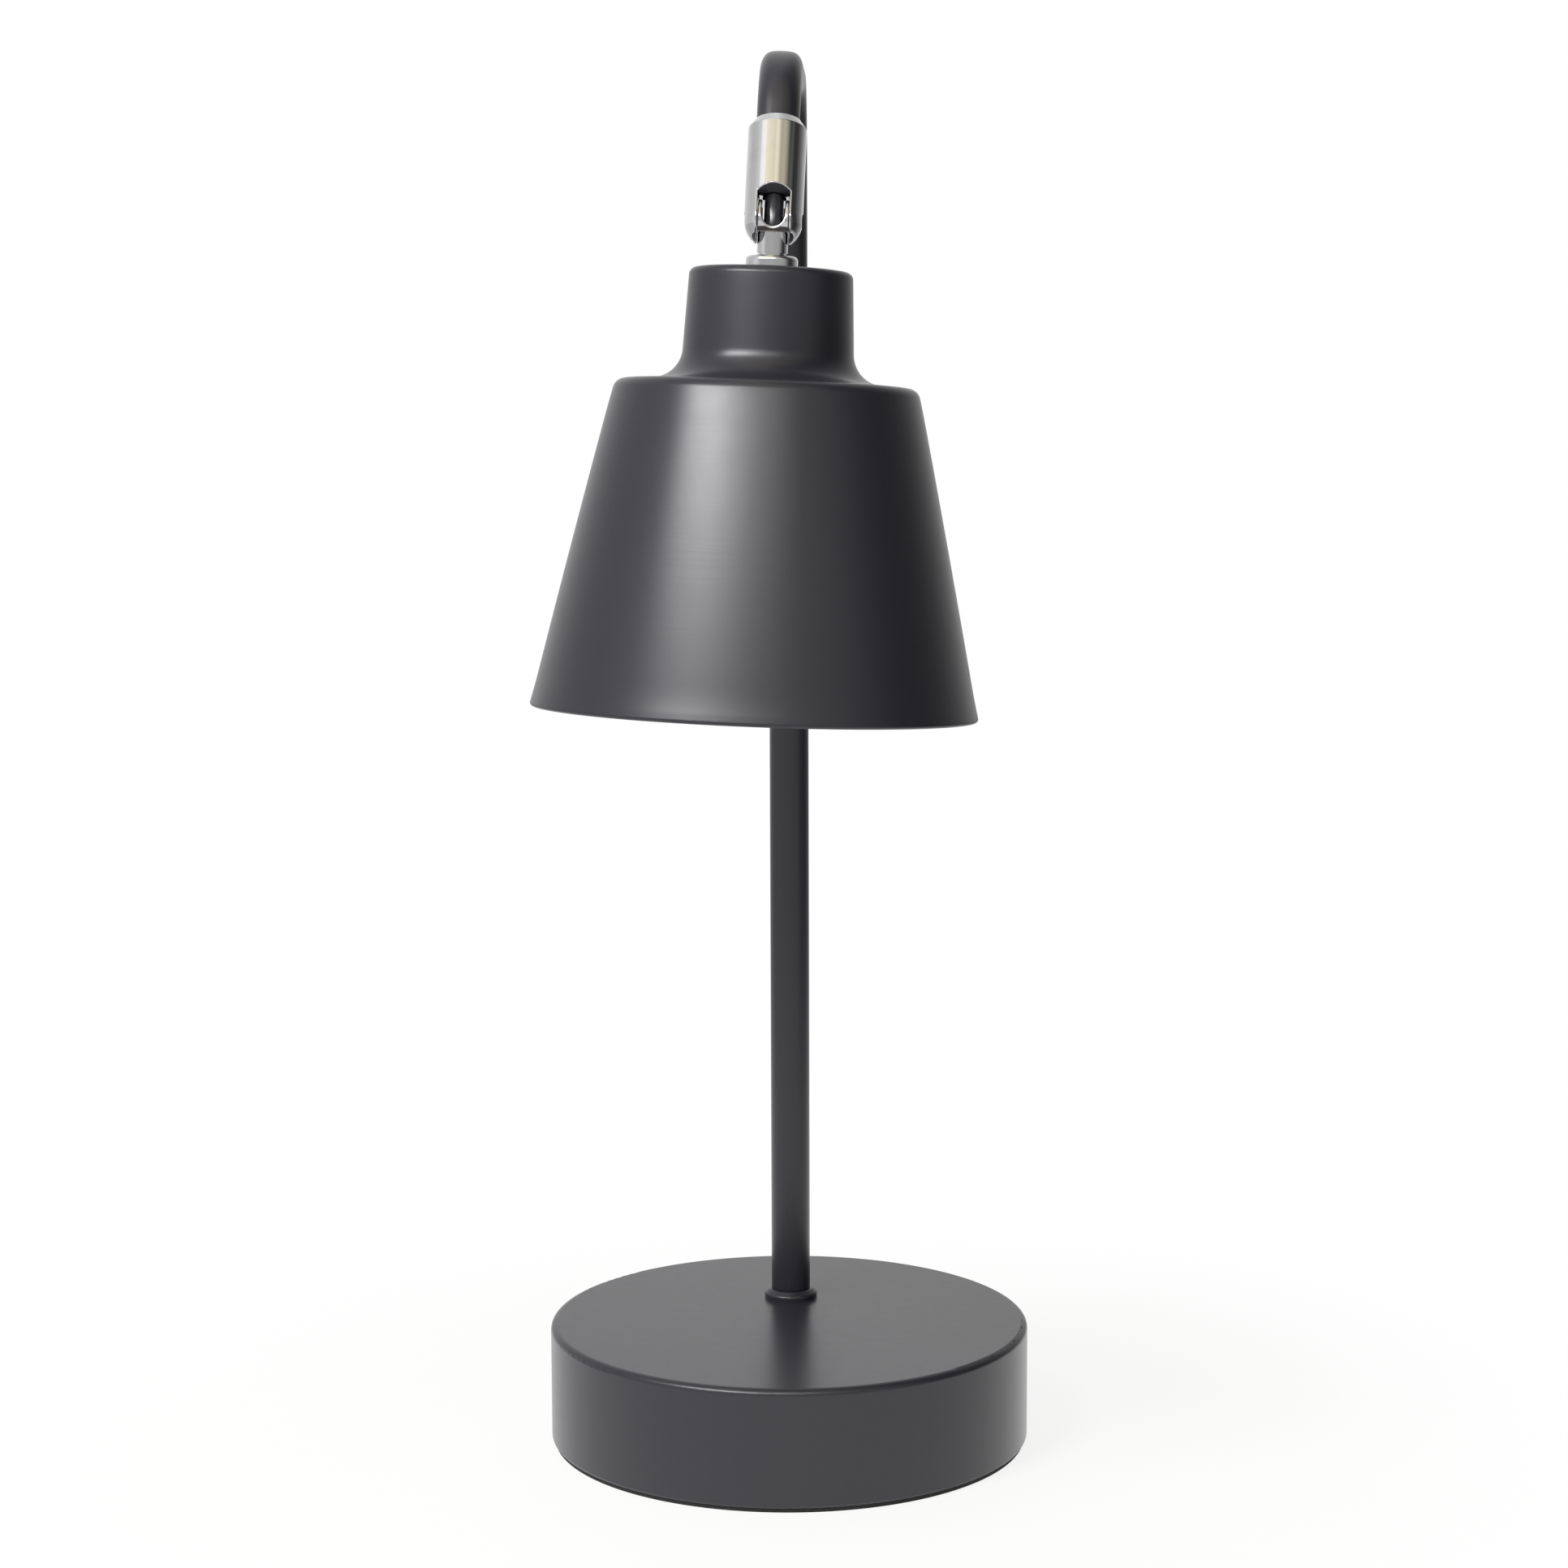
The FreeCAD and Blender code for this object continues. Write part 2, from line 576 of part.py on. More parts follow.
def knuckle_slot():
    """Room for the tongue: straight sides, and an arched top that rises ahead of the cable."""
    half = SLOT_WIDTH / 2
    ahead = -COLLAR_CABLE_BORE / 2
    left_foot = FreeCAD.Vector(-half, ahead, -COLLAR_DIAMETER)
    left_top = FreeCAD.Vector(-half, ahead, SLOT_TOP - SLOT_ARCH)
    crown = FreeCAD.Vector(0, ahead, SLOT_TOP)
    right_top = FreeCAD.Vector(half, ahead, SLOT_TOP - SLOT_ARCH)
    right_foot = FreeCAD.Vector(half, ahead, -COLLAR_DIAMETER)
    outline = Part.Wire([
        Part.LineSegment(left_foot, left_top).toShape(),
        Part.Arc(left_top, crown, right_top).toShape(),
        Part.LineSegment(right_top, right_foot).toShape(),
        Part.LineSegment(right_foot, left_foot).toShape(),
    ])
    arch = Part.Face(outline)
    rise = math.tan(math.radians(SLOT_FLARE))
    level = arch.extrude(Y_AXIS * COLLAR_DIAMETER)
    flared = arch.extrude((Z_AXIS * rise - Y_AXIS) * COLLAR_DIAMETER)
    return level.fuse(flared).removeSplitter()


def edge_middle(edge):
    """Point half way along an edge."""
    first, last = edge.ParameterRange
    return edge.valueAt((first + last) / 2)


def slot_rim(collar):
    """Edges where the slot leaves the round of the collar and its domed end."""
    rim = []
    for edge in collar.Edges:
        middle = edge_middle(edge)
        reach = math.hypot(middle.x, middle.y) if middle.z > 0 else middle.Length
        in_slot = abs(middle.x) < SLOT_WIDTH / 2 + ON_SURFACE and middle.z < COLLAR_LENGTH - TUBE_SEAT
        if abs(reach - COLLAR_DIAMETER / 2) < ON_SURFACE and in_slot:
            rim.append(edge)
    return rim


def knuckle_collar():
    """Chromed sleeve on the end of the tube, with a domed end cut into two ears."""
    edge = COLLAR_DIAMETER / 2
    land = TUBE_HOLE / 2 + COLLAR_LAND
    body = turned([
        (0, COLLAR_LENGTH, 0),
        (land, COLLAR_LENGTH, 0),
        (edge, COLLAR_LENGTH - COLLAR_CHAMFER, COLLAR_EDGE_RADIUS),
        (edge, -edge, edge),
        (0, -edge, 0),
    ])
    seat = rod(TUBE_HOLE, COLLAR_LENGTH - TUBE_SEAT, COLLAR_LENGTH)
    cable = rod(COLLAR_CABLE_BORE, 0, COLLAR_LENGTH)
    pivot_hole = along_x(rod(PIVOT_SCREW_DIAMETER + 2 * FIT_CLEARANCE, -COLLAR_DIAMETER, COLLAR_DIAMETER))
    grub_hole = along_y(rod(GRUB_DIAMETER + 2 * FIT_CLEARANCE, 0, COLLAR_DIAMETER))
    cuts = [seat, cable, knuckle_slot(), pivot_hole, grub_hole.translated(Z_AXIS * GRUB_LEVEL)]
    collar = body.cut(cuts)
    return collar.makeFillet(SLOT_EDGE_RADIUS, slot_rim(collar))


def collar_grub_screw():
    """Socket screw that grips the tube from the back."""
    inner = TUBE_DIAMETER / 2
    outer = COLLAR_DIAMETER / 2 - GRUB_SINK
    screw = rod(GRUB_DIAMETER, inner, outer).cut(hexagon(GRUB_SOCKET, (inner + outer) / 2, outer))
    return along_y(screw).translated(Z_AXIS * GRUB_LEVEL)


def pivot_screws():
    """Two dog-point screws, threaded in the ears, whose points are the hinge pins."""
    channel = CHANNEL_WIDTH / 2
    shoulder = SLOT_WIDTH / 2
    outer = COLLAR_DIAMETER / 2 - PIVOT_SINK
    body = rod(PIVOT_SCREW_DIAMETER, shoulder, outer).fuse(rod(PIVOT_PIN_DIAMETER, channel, shoulder))
    socket = hexagon(PIVOT_SOCKET, outer - PIVOT_SOCKET_DEPTH, outer)
    screw = along_x(body.cut(socket))
    return Part.makeCompound([screw, screw.rotated(ORIGIN, Z_AXIS, 180)])


def channel_rim(tongue):
    """Edges where the channel for the cable leaves the round of the head."""
    rim = []
    for edge in tongue.Edges:
        middle = edge_middle(edge)
        reach = math.hypot(middle.y, middle.z)
        on_wall = abs(middle.x) < CHANNEL_WIDTH / 2 + ON_SURFACE
        if abs(reach - TONGUE_RADIUS) < ON_SURFACE and on_wall:
            rim.append(edge)
    return rim


def knuckle_tongue():
    """Forked hollow head, stem, flange and threaded stub in one turned and milled piece."""
    half = TONGUE_WIDTH / 2
    disc = along_x(turned([
        (0, -half, 0),
        (TONGUE_RADIUS, -half, TONGUE_EDGE_RADIUS),
        (TONGUE_RADIUS, half, TONGUE_EDGE_RADIUS),
        (0, half, 0),
    ]))
    head = disc.cut(block(COLLAR_DIAMETER, COLLAR_DIAMETER, -COLLAR_DIAMETER, -TONGUE_DROP))
    flange_top = NECK_TOP + FLANGE_THICKNESS
    groove = STEM_DIAMETER / 2 - GROOVE_DEPTH
    shaft = turned([
        (0, 0, 0),
        (STEM_DIAMETER / 2, 0, 0),
        (STEM_DIAMETER / 2, -STEM_LENGTH, 0),
        (groove, -STEM_LENGTH, 0),
        (groove, flange_top, 0),
        (FLANGE_DIAMETER / 2, flange_top, FLANGE_EDGE_RADIUS),
        (FLANGE_DIAMETER / 2, NECK_TOP, 0),
        (STUB_DIAMETER / 2, NECK_TOP, 0),
        (STUB_DIAMETER / 2, NECK_TOP - STUB_LENGTH, 0),
        (0, NECK_TOP - STUB_LENGTH, 0),
    ])
    channel_axis = CHANNEL_WIDTH / 2 - CHANNEL_DEPTH
    channel_end = along_y(rod(CHANNEL_WIDTH, -COLLAR_DIAMETER, COLLAR_DIAMETER))
    channel = block(CHANNEL_WIDTH, 2 * COLLAR_DIAMETER, channel_axis, COLLAR_DIAMETER)
    bore = rod(CHANNEL_WIDTH, NECK_TOP - STUB_LENGTH, channel_axis)
    pin_hole = along_x(rod(PIN_HOLE, -COLLAR_DIAMETER, COLLAR_DIAMETER))
    cuts = [channel_end.translated(Z_AXIS * channel_axis), channel, bore, pin_hole]
    tongue = head.fuse(shaft).removeSplitter().cut(cuts)
    return tongue.makeFillet(CHANNEL_EDGE_RADIUS, channel_rim(tongue))


def shade_shell():
    """Spun shade: neck, shoulder, crowned cone and a rim rolled inwards, in one sheet."""
    rim = RIM_DIAMETER / 2
    hole = STUB_DIAMETER / 2 + BOLT_CLEARANCE
    shoulder_level = RIM_LEVEL + SHOULDER_HEIGHT
    half_height = SHOULDER_HEIGHT / 2
    bulge = CONE_CROWN / (1 - CROWN_SPAN / 2)
    middle = (RIM_DIAMETER + SHOULDER_DIAMETER) / 4 + bulge
    outside = [
        (hole, NECK_TOP, 0),
        (NECK_TOP_DIAMETER / 2, NECK_TOP, NECK_EDGE_RADIUS),
        (NECK_DIAMETER / 2, shoulder_level + SHOULDER_RISE, NECK_FILLET),
        (SHOULDER_DIAMETER / 2, shoulder_level, SHOULDER_RADIUS),
        (middle, RIM_LEVEL + half_height, CROWN_SPAN * half_height ** 2 / bulge),
        (rim, RIM_LEVEL, RIM_ROLL),
        (rim - RIM_RETURN, RIM_LEVEL, 0),
    ]
    return turned(sheet_corners(outside, SHADE_WALL))


def holder_washer():
    """Washer under the top of the shade."""
    hole = STUB_DIAMETER + 2 * BOLT_CLEARANCE
    return pipe(HOLDER_WASHER_DIAMETER, HOLDER_NUT_TOP, SHADE_CEILING, hole)


def holder_nut():
    """Nut that clamps the shade against the flange of the tongue."""
    return thin_nut(HOLDER_NUT_TOP)


def holder_cap():
    """Hollow cap of the lampholder, screwed on the stub."""
    slope_top = HOLDER_TOP - HOLDER_BOSS_HEIGHT
    slope_foot = slope_top - HOLDER_SLOPE_HEIGHT
    outside = [
        (STUB_DIAMETER / 2 + FIT_CLEARANCE, HOLDER_TOP, 0),
        (HOLDER_BOSS_DIAMETER / 2, HOLDER_TOP, 0),
        (HOLDER_BOSS_DIAMETER / 2, slope_top, 0),
        (HOLDER_DIAMETER / 2, slope_foot, 0),
        (HOLDER_DIAMETER / 2, HOLDER_JOINT, 0),
    ]
    return turned(sheet_corners(outside, HOLDER_WALL))


def holder_body():
    """Skirt of the lampholder: spigot in the cap, ring, taper to the mouth, ledge inside."""
    spigot = HOLDER_DIAMETER / 2 - HOLDER_WALL - FIT_CLEARANCE
    spigot_top = HOLDER_JOINT + HOLDER_SPIGOT
    seat = INSERT_DIAMETER / 2 + FIT_CLEARANCE
    bore = THREAD_DIAMETER / 2 + THREAD_WALL + FIT_CLEARANCE
    return turned([
        (seat, spigot_top, 0),
        (spigot, spigot_top, 0),
        (spigot, HOLDER_JOINT, 0),
        (HOLDER_DIAMETER / 2, HOLDER_JOINT, 0),
        (HOLDER_DIAMETER / 2, HOLDER_JOINT - HOLDER_RING_HEIGHT, 0),
        (HOLDER_MOUTH_DIAMETER / 2, HOLDER_MOUTH, 0),
        (bore, HOLDER_MOUTH, 0),
        (bore, INSERT_FOOT, 0),
        (seat, INSERT_FOOT, 0),
    ])


def holder_insert():
    """Ceramic insert that carries the thread and the contact, grooved for the wires."""
    groove = block(INSERT_GROOVE, INSERT_DIAMETER, INSERT_TOP - INSERT_GROOVE, INSERT_TOP)
    middle = FLEX_DIAMETER + INSERT_GROOVE
    channel = groove.cut(rod(middle, INSERT_TOP - INSERT_GROOVE, INSERT_TOP))
    return rod(INSERT_DIAMETER, INSERT_FOOT, INSERT_TOP).cut(channel)


def holder_thread():
    """Metal screw sleeve under the insert."""
    outside = THREAD_DIAMETER + 2 * THREAD_WALL
    return pipe(outside, INSERT_FOOT - THREAD_LENGTH, INSERT_FOOT, THREAD_DIAMETER)


def holder_contact():
    """Middle contact under the insert."""
    return rod(CONTACT_DIAMETER, BULB_TOP, INSERT_FOOT)


def bulb_contact():
    """Button on the end of the bulb."""
    return rod(BULB_BUTTON_DIAMETER, BULB_TOP - BULB_BUTTON_THICKNESS, BULB_TOP)


def bulb_insulator():
    """Sloping ring of glass between the button and the screw cap."""
    bottom = BULB_INSULATOR_DIAMETER / 2
    top = BULB_BUTTON_DIAMETER / 2
    return Part.makeCone(bottom, top, BULB_INSULATOR_THICKNESS, Z_AXIS * BULB_CAP_TOP)


def bulb_cap():
    """Screw cap of the bulb, a thin cup."""
    edge = BULB_CAP_DIAMETER / 2
    outside = [
        (0, BULB_CAP_TOP, 0),
        (BULB_INSULATOR_DIAMETER / 2, BULB_CAP_TOP, 0),
        (edge, BULB_CAP_TOP - (edge - BULB_INSULATOR_DIAMETER / 2), 0),
        (edge, BULB_CAP_FOOT, 0),
    ]
    return turned(sheet_corners(outside, BULB_CAP_WALL))


def bulb_globe():
    """Blown glass globe with a neck that is held in the screw cap."""
    neck = BULB_NECK_DIAMETER / 2
    globe = BULB_DIAMETER / 2
    outside = [
        (neck, BULB_CAP_FOOT + BULB_NECK_SEAT, 0),
        (neck, BULB_WAIST, BULB_WAIST_RADIUS),
        (globe, BULB_SHOULDER, BULB_SHOULDER_RADIUS),
        (globe, BULB_FOOT, globe),
        (0, BULB_FOOT, 0),
    ]
    return turned(sheet_corners(outside, BULB_WALL))


def placed(shape, place):
    """The shape moved from its own axis to its place on the lamp."""
    moved = shape.copy()
    moved.Placement = place.multiply(moved.Placement)
    return moved


def stand_nodes():
    """Base, pole and cable, drawn where they stand."""
    shell = base_shell()
    return {
        "base_shell": shell,
        "base_weight": base_weight(),
        "base_plate": base_plate(),
        "plate_pillars": plate_pillars(),
        "base_plate_screws": base_plate_screws(),
        "base_pad": base_pad(),
        "cord_grommet": cord_grommet(shell),
        "terminal_block": terminal_block(),
        "terminal_screws": terminal_screws(),
        "pole": pole(),
        "pole_foot_ring": pole_foot_ring(),
        "pole_nipple": pole_nipple(),
        "nipple_washer": nipple_washer(),
        "nipple_nut": nipple_nut(),
        "supply_flex": supply_flex(),
    }


def collar_nodes():
    """Upper half of the knuckle, drawn about the pivot along the leg."""
    makers = [knuckle_collar, collar_grub_screw, pivot_screws]
    return {maker.__name__: placed(maker(), COLLAR_PLACE) for maker in makers}


def shade_nodes():
    """Everything that tips with the shade, drawn about the pivot along its axis."""
    makers = [
        knuckle_tongue, shade_shell, shade_flex, holder_washer, holder_nut, holder_cap, holder_body,
        holder_insert, holder_thread, holder_contact, bulb_contact, bulb_insulator, bulb_cap, bulb_globe,
    ]
    return {maker.__name__: placed(maker(), SHADE_PLACE) for maker in makers}


def main():
    """Write one file for each node."""
    os.makedirs("parts", exist_ok=True)
    nodes = {**stand_nodes(), **collar_nodes(), **shade_nodes()}
    for name, shape in nodes.items():
        shape.exportStep(os.path.join("parts", name + ".step"))
        print(name, "solids", len(shape.Solids), "valid", shape.isValid(), "volume", round(shape.Volume, 1))
    hinge = LEAN.multVec(-X_AXIS)
    print("pivot", [round(value, 4) for value in PIVOT], "hinge", [round(value, 6) for value in hinge])


main()
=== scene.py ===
import json
import logging
import math
from dataclasses import dataclass
from enum import Enum
from typing import Dict, Optional, Protocol, Sequence, Tuple, Union

import bpy
import numpy as np
from mathutils import Matrix, Vector


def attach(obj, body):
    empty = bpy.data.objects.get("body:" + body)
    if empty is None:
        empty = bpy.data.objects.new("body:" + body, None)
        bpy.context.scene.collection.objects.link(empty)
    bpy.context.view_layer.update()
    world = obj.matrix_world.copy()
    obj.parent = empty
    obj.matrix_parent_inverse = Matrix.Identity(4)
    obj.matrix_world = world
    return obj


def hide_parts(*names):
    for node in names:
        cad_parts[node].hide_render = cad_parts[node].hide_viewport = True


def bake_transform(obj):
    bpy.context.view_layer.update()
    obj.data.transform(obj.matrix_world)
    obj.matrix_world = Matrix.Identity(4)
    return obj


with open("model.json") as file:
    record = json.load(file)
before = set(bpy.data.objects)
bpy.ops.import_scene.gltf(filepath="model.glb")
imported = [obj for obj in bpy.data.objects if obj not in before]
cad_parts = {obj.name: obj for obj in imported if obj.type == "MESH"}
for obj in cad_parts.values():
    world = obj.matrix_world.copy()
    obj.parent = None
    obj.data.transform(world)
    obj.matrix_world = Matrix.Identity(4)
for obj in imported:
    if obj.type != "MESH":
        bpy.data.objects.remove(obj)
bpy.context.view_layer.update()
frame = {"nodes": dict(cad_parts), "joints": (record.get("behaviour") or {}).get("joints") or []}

# Looks of a desk lamp: satin painted base, tube and spun shade, and a chromed knuckle.
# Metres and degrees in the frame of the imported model: Z up, the lamp faces -Y.

LOG = logging.getLogger("lamp")

Colour = Tuple[float, float, float, float]
Spot = Tuple[float, float, float]
Span = Tuple[float, float]
Value = Union["Sock", float]
Setting = Dict[str, object]
Sockets = Dict[Union[str, int], object]
Faces = Union[np.ndarray, Sequence[Sequence[int]]]

# Distance from an edge, offset from the straight side there, and radius of the arc.
Bend = Tuple[float, float, float]
# Degrees right of the front, brightness there, and how far its colour goes from white to cream.
Bearing = Tuple[float, float, float]

# The two pieces of cable are equally thick and meet at this distance above the pivot.
CABLE_DIAMETER = 0.0056
CABLE_JOIN = 0.011


class Body(Enum):
    """The two bodies that pieces ride on."""

    STAND = "stand"
    SHADE = "shade"


class Slot(Enum):
    """Material slots of the record that the new pieces' finishes belong to."""

    PAINT = "grey_paint"
    FLEX = "black_flex"


class Sock:
    """One output of a node. Python's operators on it add Math nodes."""

    def __init__(self, graph: "Graph", socket: bpy.types.NodeSocket) -> None:
        """Wraps one socket of a graph."""
        self.graph = graph
        self.socket = socket

    def math(self, operation: str, first: Value, second: Value = 0.0) -> "Sock":
        """Adds one Math node.

        Args:
            operation: Name of the node's operation.
            first: First number or socket.
            second: Second number or socket.

        Returns:
            The node's output.
        """
        return self.graph.node("ShaderNodeMath", {"operation": operation}, {0: first, 1: second})

    def __add__(self, other: Value) -> "Sock":
        """Sum."""
        return self.math("ADD", self, other)

    def __radd__(self, other: Value) -> "Sock":
        """Sum, number first."""
        return self.math("ADD", other, self)

    def __sub__(self, other: Value) -> "Sock":
        """Difference."""
        return self.math("SUBTRACT", self, other)

    def __rsub__(self, other: Value) -> "Sock":
        """Difference, number first."""
        return self.math("SUBTRACT", other, self)

    def __mul__(self, other: Value) -> "Sock":
        """Product."""
        return self.math("MULTIPLY", self, other)

    def __rmul__(self, other: Value) -> "Sock":
        """Product, number first."""
        return self.math("MULTIPLY", other, self)

    def __truediv__(self, other: Value) -> "Sock":
        """Quotient."""
        return self.math("DIVIDE", self, other)

    def __rtruediv__(self, other: Value) -> "Sock":
        """Quotient, number first."""
        return self.math("DIVIDE", other, self)

    def ramp(self, low: float, high: float) -> "Sock":
        """Smooth step of the value: s * s * (3 - 2 * s) at a share s of the way from low to high.

        Args:
            low: Value that gives 0.
            high: Value that gives 1.

        Returns:
            The step.
        """
        limits = {"Value": self, "From Min": low, "From Max": high}
        return self.graph.node("ShaderNodeMapRange", {"interpolation_type": "SMOOTHSTEP"}, limits)


class Graph:
    """A node tree that one method fills."""

    def __init__(self, tree: bpy.types.NodeTree) -> None:
        """Takes a tree and empties it."""
        self.tree = tree
        tree.nodes.clear()

    def node(self, kind: str, settings: Optional[Setting] = None, sockets: Optional[Sockets] = None,
             out: Union[str, int] = 0) -> Sock:
        """Adds a node, sets it up and links it.

        Args:
            kind: Blender's type name of the node.
            settings: Properties, set before the sockets. The key stops fills a colour ramp.
            sockets: Numbers, colours, vectors or Socks by the name or index of an input.
            out: Name or index of the output that is returned.

        Returns:
            That output, or the node's first input where it has no output.
        """
        node = self.tree.nodes.new(kind)
        for key, value in (settings or {}).items():
            if key == "stops":
                self.fill_stops(node, value)
            else:
                setattr(node, key, value)
        for key, value in (sockets or {}).items():
            if isinstance(value, Sock):
                self.tree.links.new(value.socket, node.inputs[key])
            else:
                node.inputs[key].default_value = value
        return Sock(self, node.outputs[out] if node.outputs else node.inputs[0])

    @staticmethod
    def fill_stops(node: bpy.types.Node, stops: Sequence[Tuple[float, Colour]]) -> None:
        """Fills a colour ramp's stops.

        Args:
            node: Colour ramp node.
            stops: Position and colour of each stop, from low to high.
        """
        elements = node.color_ramp.elements
        for _ in range(len(stops) - len(elements)):
            elements.new(1.0)
        for element, (place, colour) in zip(elements, stops):
            element.position = place
            element.color = colour

    def place(self, centre: Sequence[float] = (0, 0, 0), turn: Sequence[float] = (0, 0, 0)) -> Sock:
        """Object coordinates, seen from a centre and turned into a piece's own axes.

        Args:
            centre: Point of the frame that becomes the origin.
            turn: XYZ Euler angles of the piece's axes, in radians.

        Returns:
            The vector in the piece's axes.
        """
        coords = self.node("ShaderNodeTexCoord", out="Object")
        sockets = {"Vector": coords, "Location": tuple(centre), "Rotation": tuple(turn)}
        return self.node("ShaderNodeMapping", {"vector_type": "TEXTURE"}, sockets)

    def noise(self, vector: Sock, scale: float, detail: float = 2.0, rough: float = 0.5) -> Sock:
        """Cloudy noise from 0 to 1 at a scale in cycles for each metre."""
        sockets = {"Vector": vector, "Scale": scale, "Detail": detail, "Roughness": rough}
        return self.node("ShaderNodeTexNoise", None, sockets)

    def stretch(self, vector: Sock, factors: Sequence[float]) -> Sock:
        """The vector times a factor on each axis."""
        sockets = {0: vector, 1: tuple(factors)}
        return self.node("ShaderNodeVectorMath", {"operation": "MULTIPLY"}, sockets)

    def part(self, vector: Sock, axis: str) -> Sock:
        """One component of a vector."""
        return self.node("ShaderNodeSeparateXYZ", None, {0: vector}, out=axis)

    def mix(self, factor: Value, first: object, second: object) -> Sock:
        """Colour between two colours."""
        return self.node("ShaderNodeMix", {"data_type": "RGBA"}, {0: factor, 6: first, 7: second}, out=2)

    def bump(self, height: Value, depth: float) -> Sock:
        """Normal bent by a height from 0 to 1 that stands for a depth in metres."""
        return self.node("ShaderNodeBump", None, {"Strength": 1.0, "Distance": depth, "Height": height})

    def surface(self, sockets: Sockets) -> None:
        """Ends the tree in a Principled surface with these sockets."""
        shader = self.node("ShaderNodeBsdfPrincipled", None, sockets)
        self.node("ShaderNodeOutputMaterial", None, {"Surface": shader})


def new_material(name: str) -> Tuple[bpy.types.Material, Graph]:
    """Makes an empty node material.

    Args:
        name: Name of the finish.

    Returns:
        The material and the graph of its tree.
    """
    material = bpy.data.materials.new(name)
    material.use_nodes = True
    return material, Graph(material.node_tree)


def grey(level: float, blue: float = 0.0) -> Colour:
    """Opaque grey, with a little added to its blue."""
    return (level, level, level + blue, 1.0)


class Finish(Protocol):
    """What every finish has."""

    @property
    def name(self) -> str:
        """Name of the material."""

    def build(self) -> bpy.types.Material:
        """Builds the material."""


@dataclass(frozen=True)
class SatinPaint:
    """Powder coat, satin, with fine orange peel and, on spun work, faint rings."""

    name: str = "satin_paint"
    colour: Colour = (0.0180, 0.0180, 0.0245, 1.0)
    light: Colour = (0.0210, 0.0210, 0.0280, 1.0)
    rough: float = 0.30
    rough_spread: float = 0.04
    fleck_scale: float = 420.0
    haze_scale: float = 230.0
    peel_scale: float = 900.0
    peel_depth: float = 0.000007
    rings: float = 0.0
    ring_stretch: Spot = (1.0, 1.0, 150.0)
    ring_scale: float = 6.0
    centre: Spot = (0.0, 0.0, 0.0)
    turn: Spot = (0.0, 0.0, 0.0)

    def build(self) -> bpy.types.Material:
        """Fine flecks vary colour and gloss, and peel and rings bend the normal.

        Returns:
            The new material.
        """
        material, graph = new_material(self.name)
        vector = graph.place(self.centre, self.turn)
        height = graph.noise(vector, self.peel_scale, detail=1.0)
        colour = graph.mix(graph.noise(vector, self.fleck_scale), self.colour, self.light)
        haze = graph.noise(vector, self.haze_scale)
        rough = self.rough - self.rough_spread / 2 + self.rough_spread * haze
        if self.rings > 0:
            lines = graph.noise(graph.stretch(vector, self.ring_stretch), self.ring_scale, detail=3.0)
            height = height + lines * self.rings
        normal = graph.bump(height, self.peel_depth)
        graph.surface({"Base Color": colour, "Roughness": rough, "Normal": normal})
        return material


@dataclass(frozen=True)
class InnerPaint:
    """White reflector paint inside the shade, with spinning rings under it."""

    name: str = "reflector_white"
    colour: Colour = (0.72, 0.71, 0.69, 1.0)
    shade: Colour = (0.62, 0.61, 0.58, 1.0)
    drift_scale: float = 25.0
    drift_span: Span = (0.3, 0.75)
    rough: float = 0.42
    rough_gain: float = 0.12
    ring_stretch: Spot = (1.0, 1.0, 300.0)
    ring_scale: float = 6.0
    peel_scale: float = 900.0
    peel_share: float = 0.5
    depth: float = 0.00004
    centre: Spot = (0.0, 0.0, 0.0)
    turn: Spot = (0.0, 0.0, 0.0)

    def build(self) -> bpy.types.Material:
        """Colour drifts between two whites, and rings along the axis bend the normal.

        Returns:
            The new material.
        """
        material, graph = new_material(self.name)
        vector = graph.place(self.centre, self.turn)
        drift = graph.noise(vector, self.drift_scale, detail=4.0)
        lines = graph.noise(graph.stretch(vector, self.ring_stretch), self.ring_scale, detail=3.0)
        colour = graph.mix(drift.ramp(*self.drift_span), self.colour, self.shade)
        rough = self.rough + self.rough_gain * drift
        peel = graph.noise(vector, self.peel_scale, detail=1.0)
        normal = graph.bump(lines + peel * self.peel_share, self.depth)
        graph.surface({"Base Color": colour, "Roughness": rough, "Normal": normal})
        return material


@dataclass(frozen=True)
class Metal:
    """Bare or plated metal with lathe or brush lines along an axis and a smudged polish."""

    name: str
    colour: Colour
    tarnish: Colour
    rough: float
    smudge: float
    lines: float
    line_stretch: Spot = (1.0, 1.0, 60.0)
    line_scale: float = 240.0
    line_depth: float = 0.00003
    smudge_scale: float = 110.0
    smudge_span: Span = (0.45, 0.75)
    centre: Spot = (0.0, 0.0, 0.0)
    turn: Spot = (0.0, 0.0, 0.0)

    def build(self) -> bpy.types.Material:
        """Smudges drift colour and roughness, and stretched noise makes the tool lines.

        Returns:
            The new material.
        """
        material, graph = new_material(self.name)
        vector = graph.place(self.centre, self.turn)
        cloud = graph.noise(vector, self.smudge_scale, detail=4.0, rough=0.6)
        smear = cloud.ramp(*self.smudge_span)
        lines = graph.noise(graph.stretch(vector, self.line_stretch), self.line_scale)
        colour = graph.mix(smear, self.colour, self.tarnish)
        rough = self.rough + smear * self.smudge + (lines - 0.5) * self.lines
        normal = graph.bump(lines, self.line_depth * self.lines)
        graph.surface({"Base Color": colour, "Metallic": 1.0, "Roughness": rough, "Normal": normal})
        return material


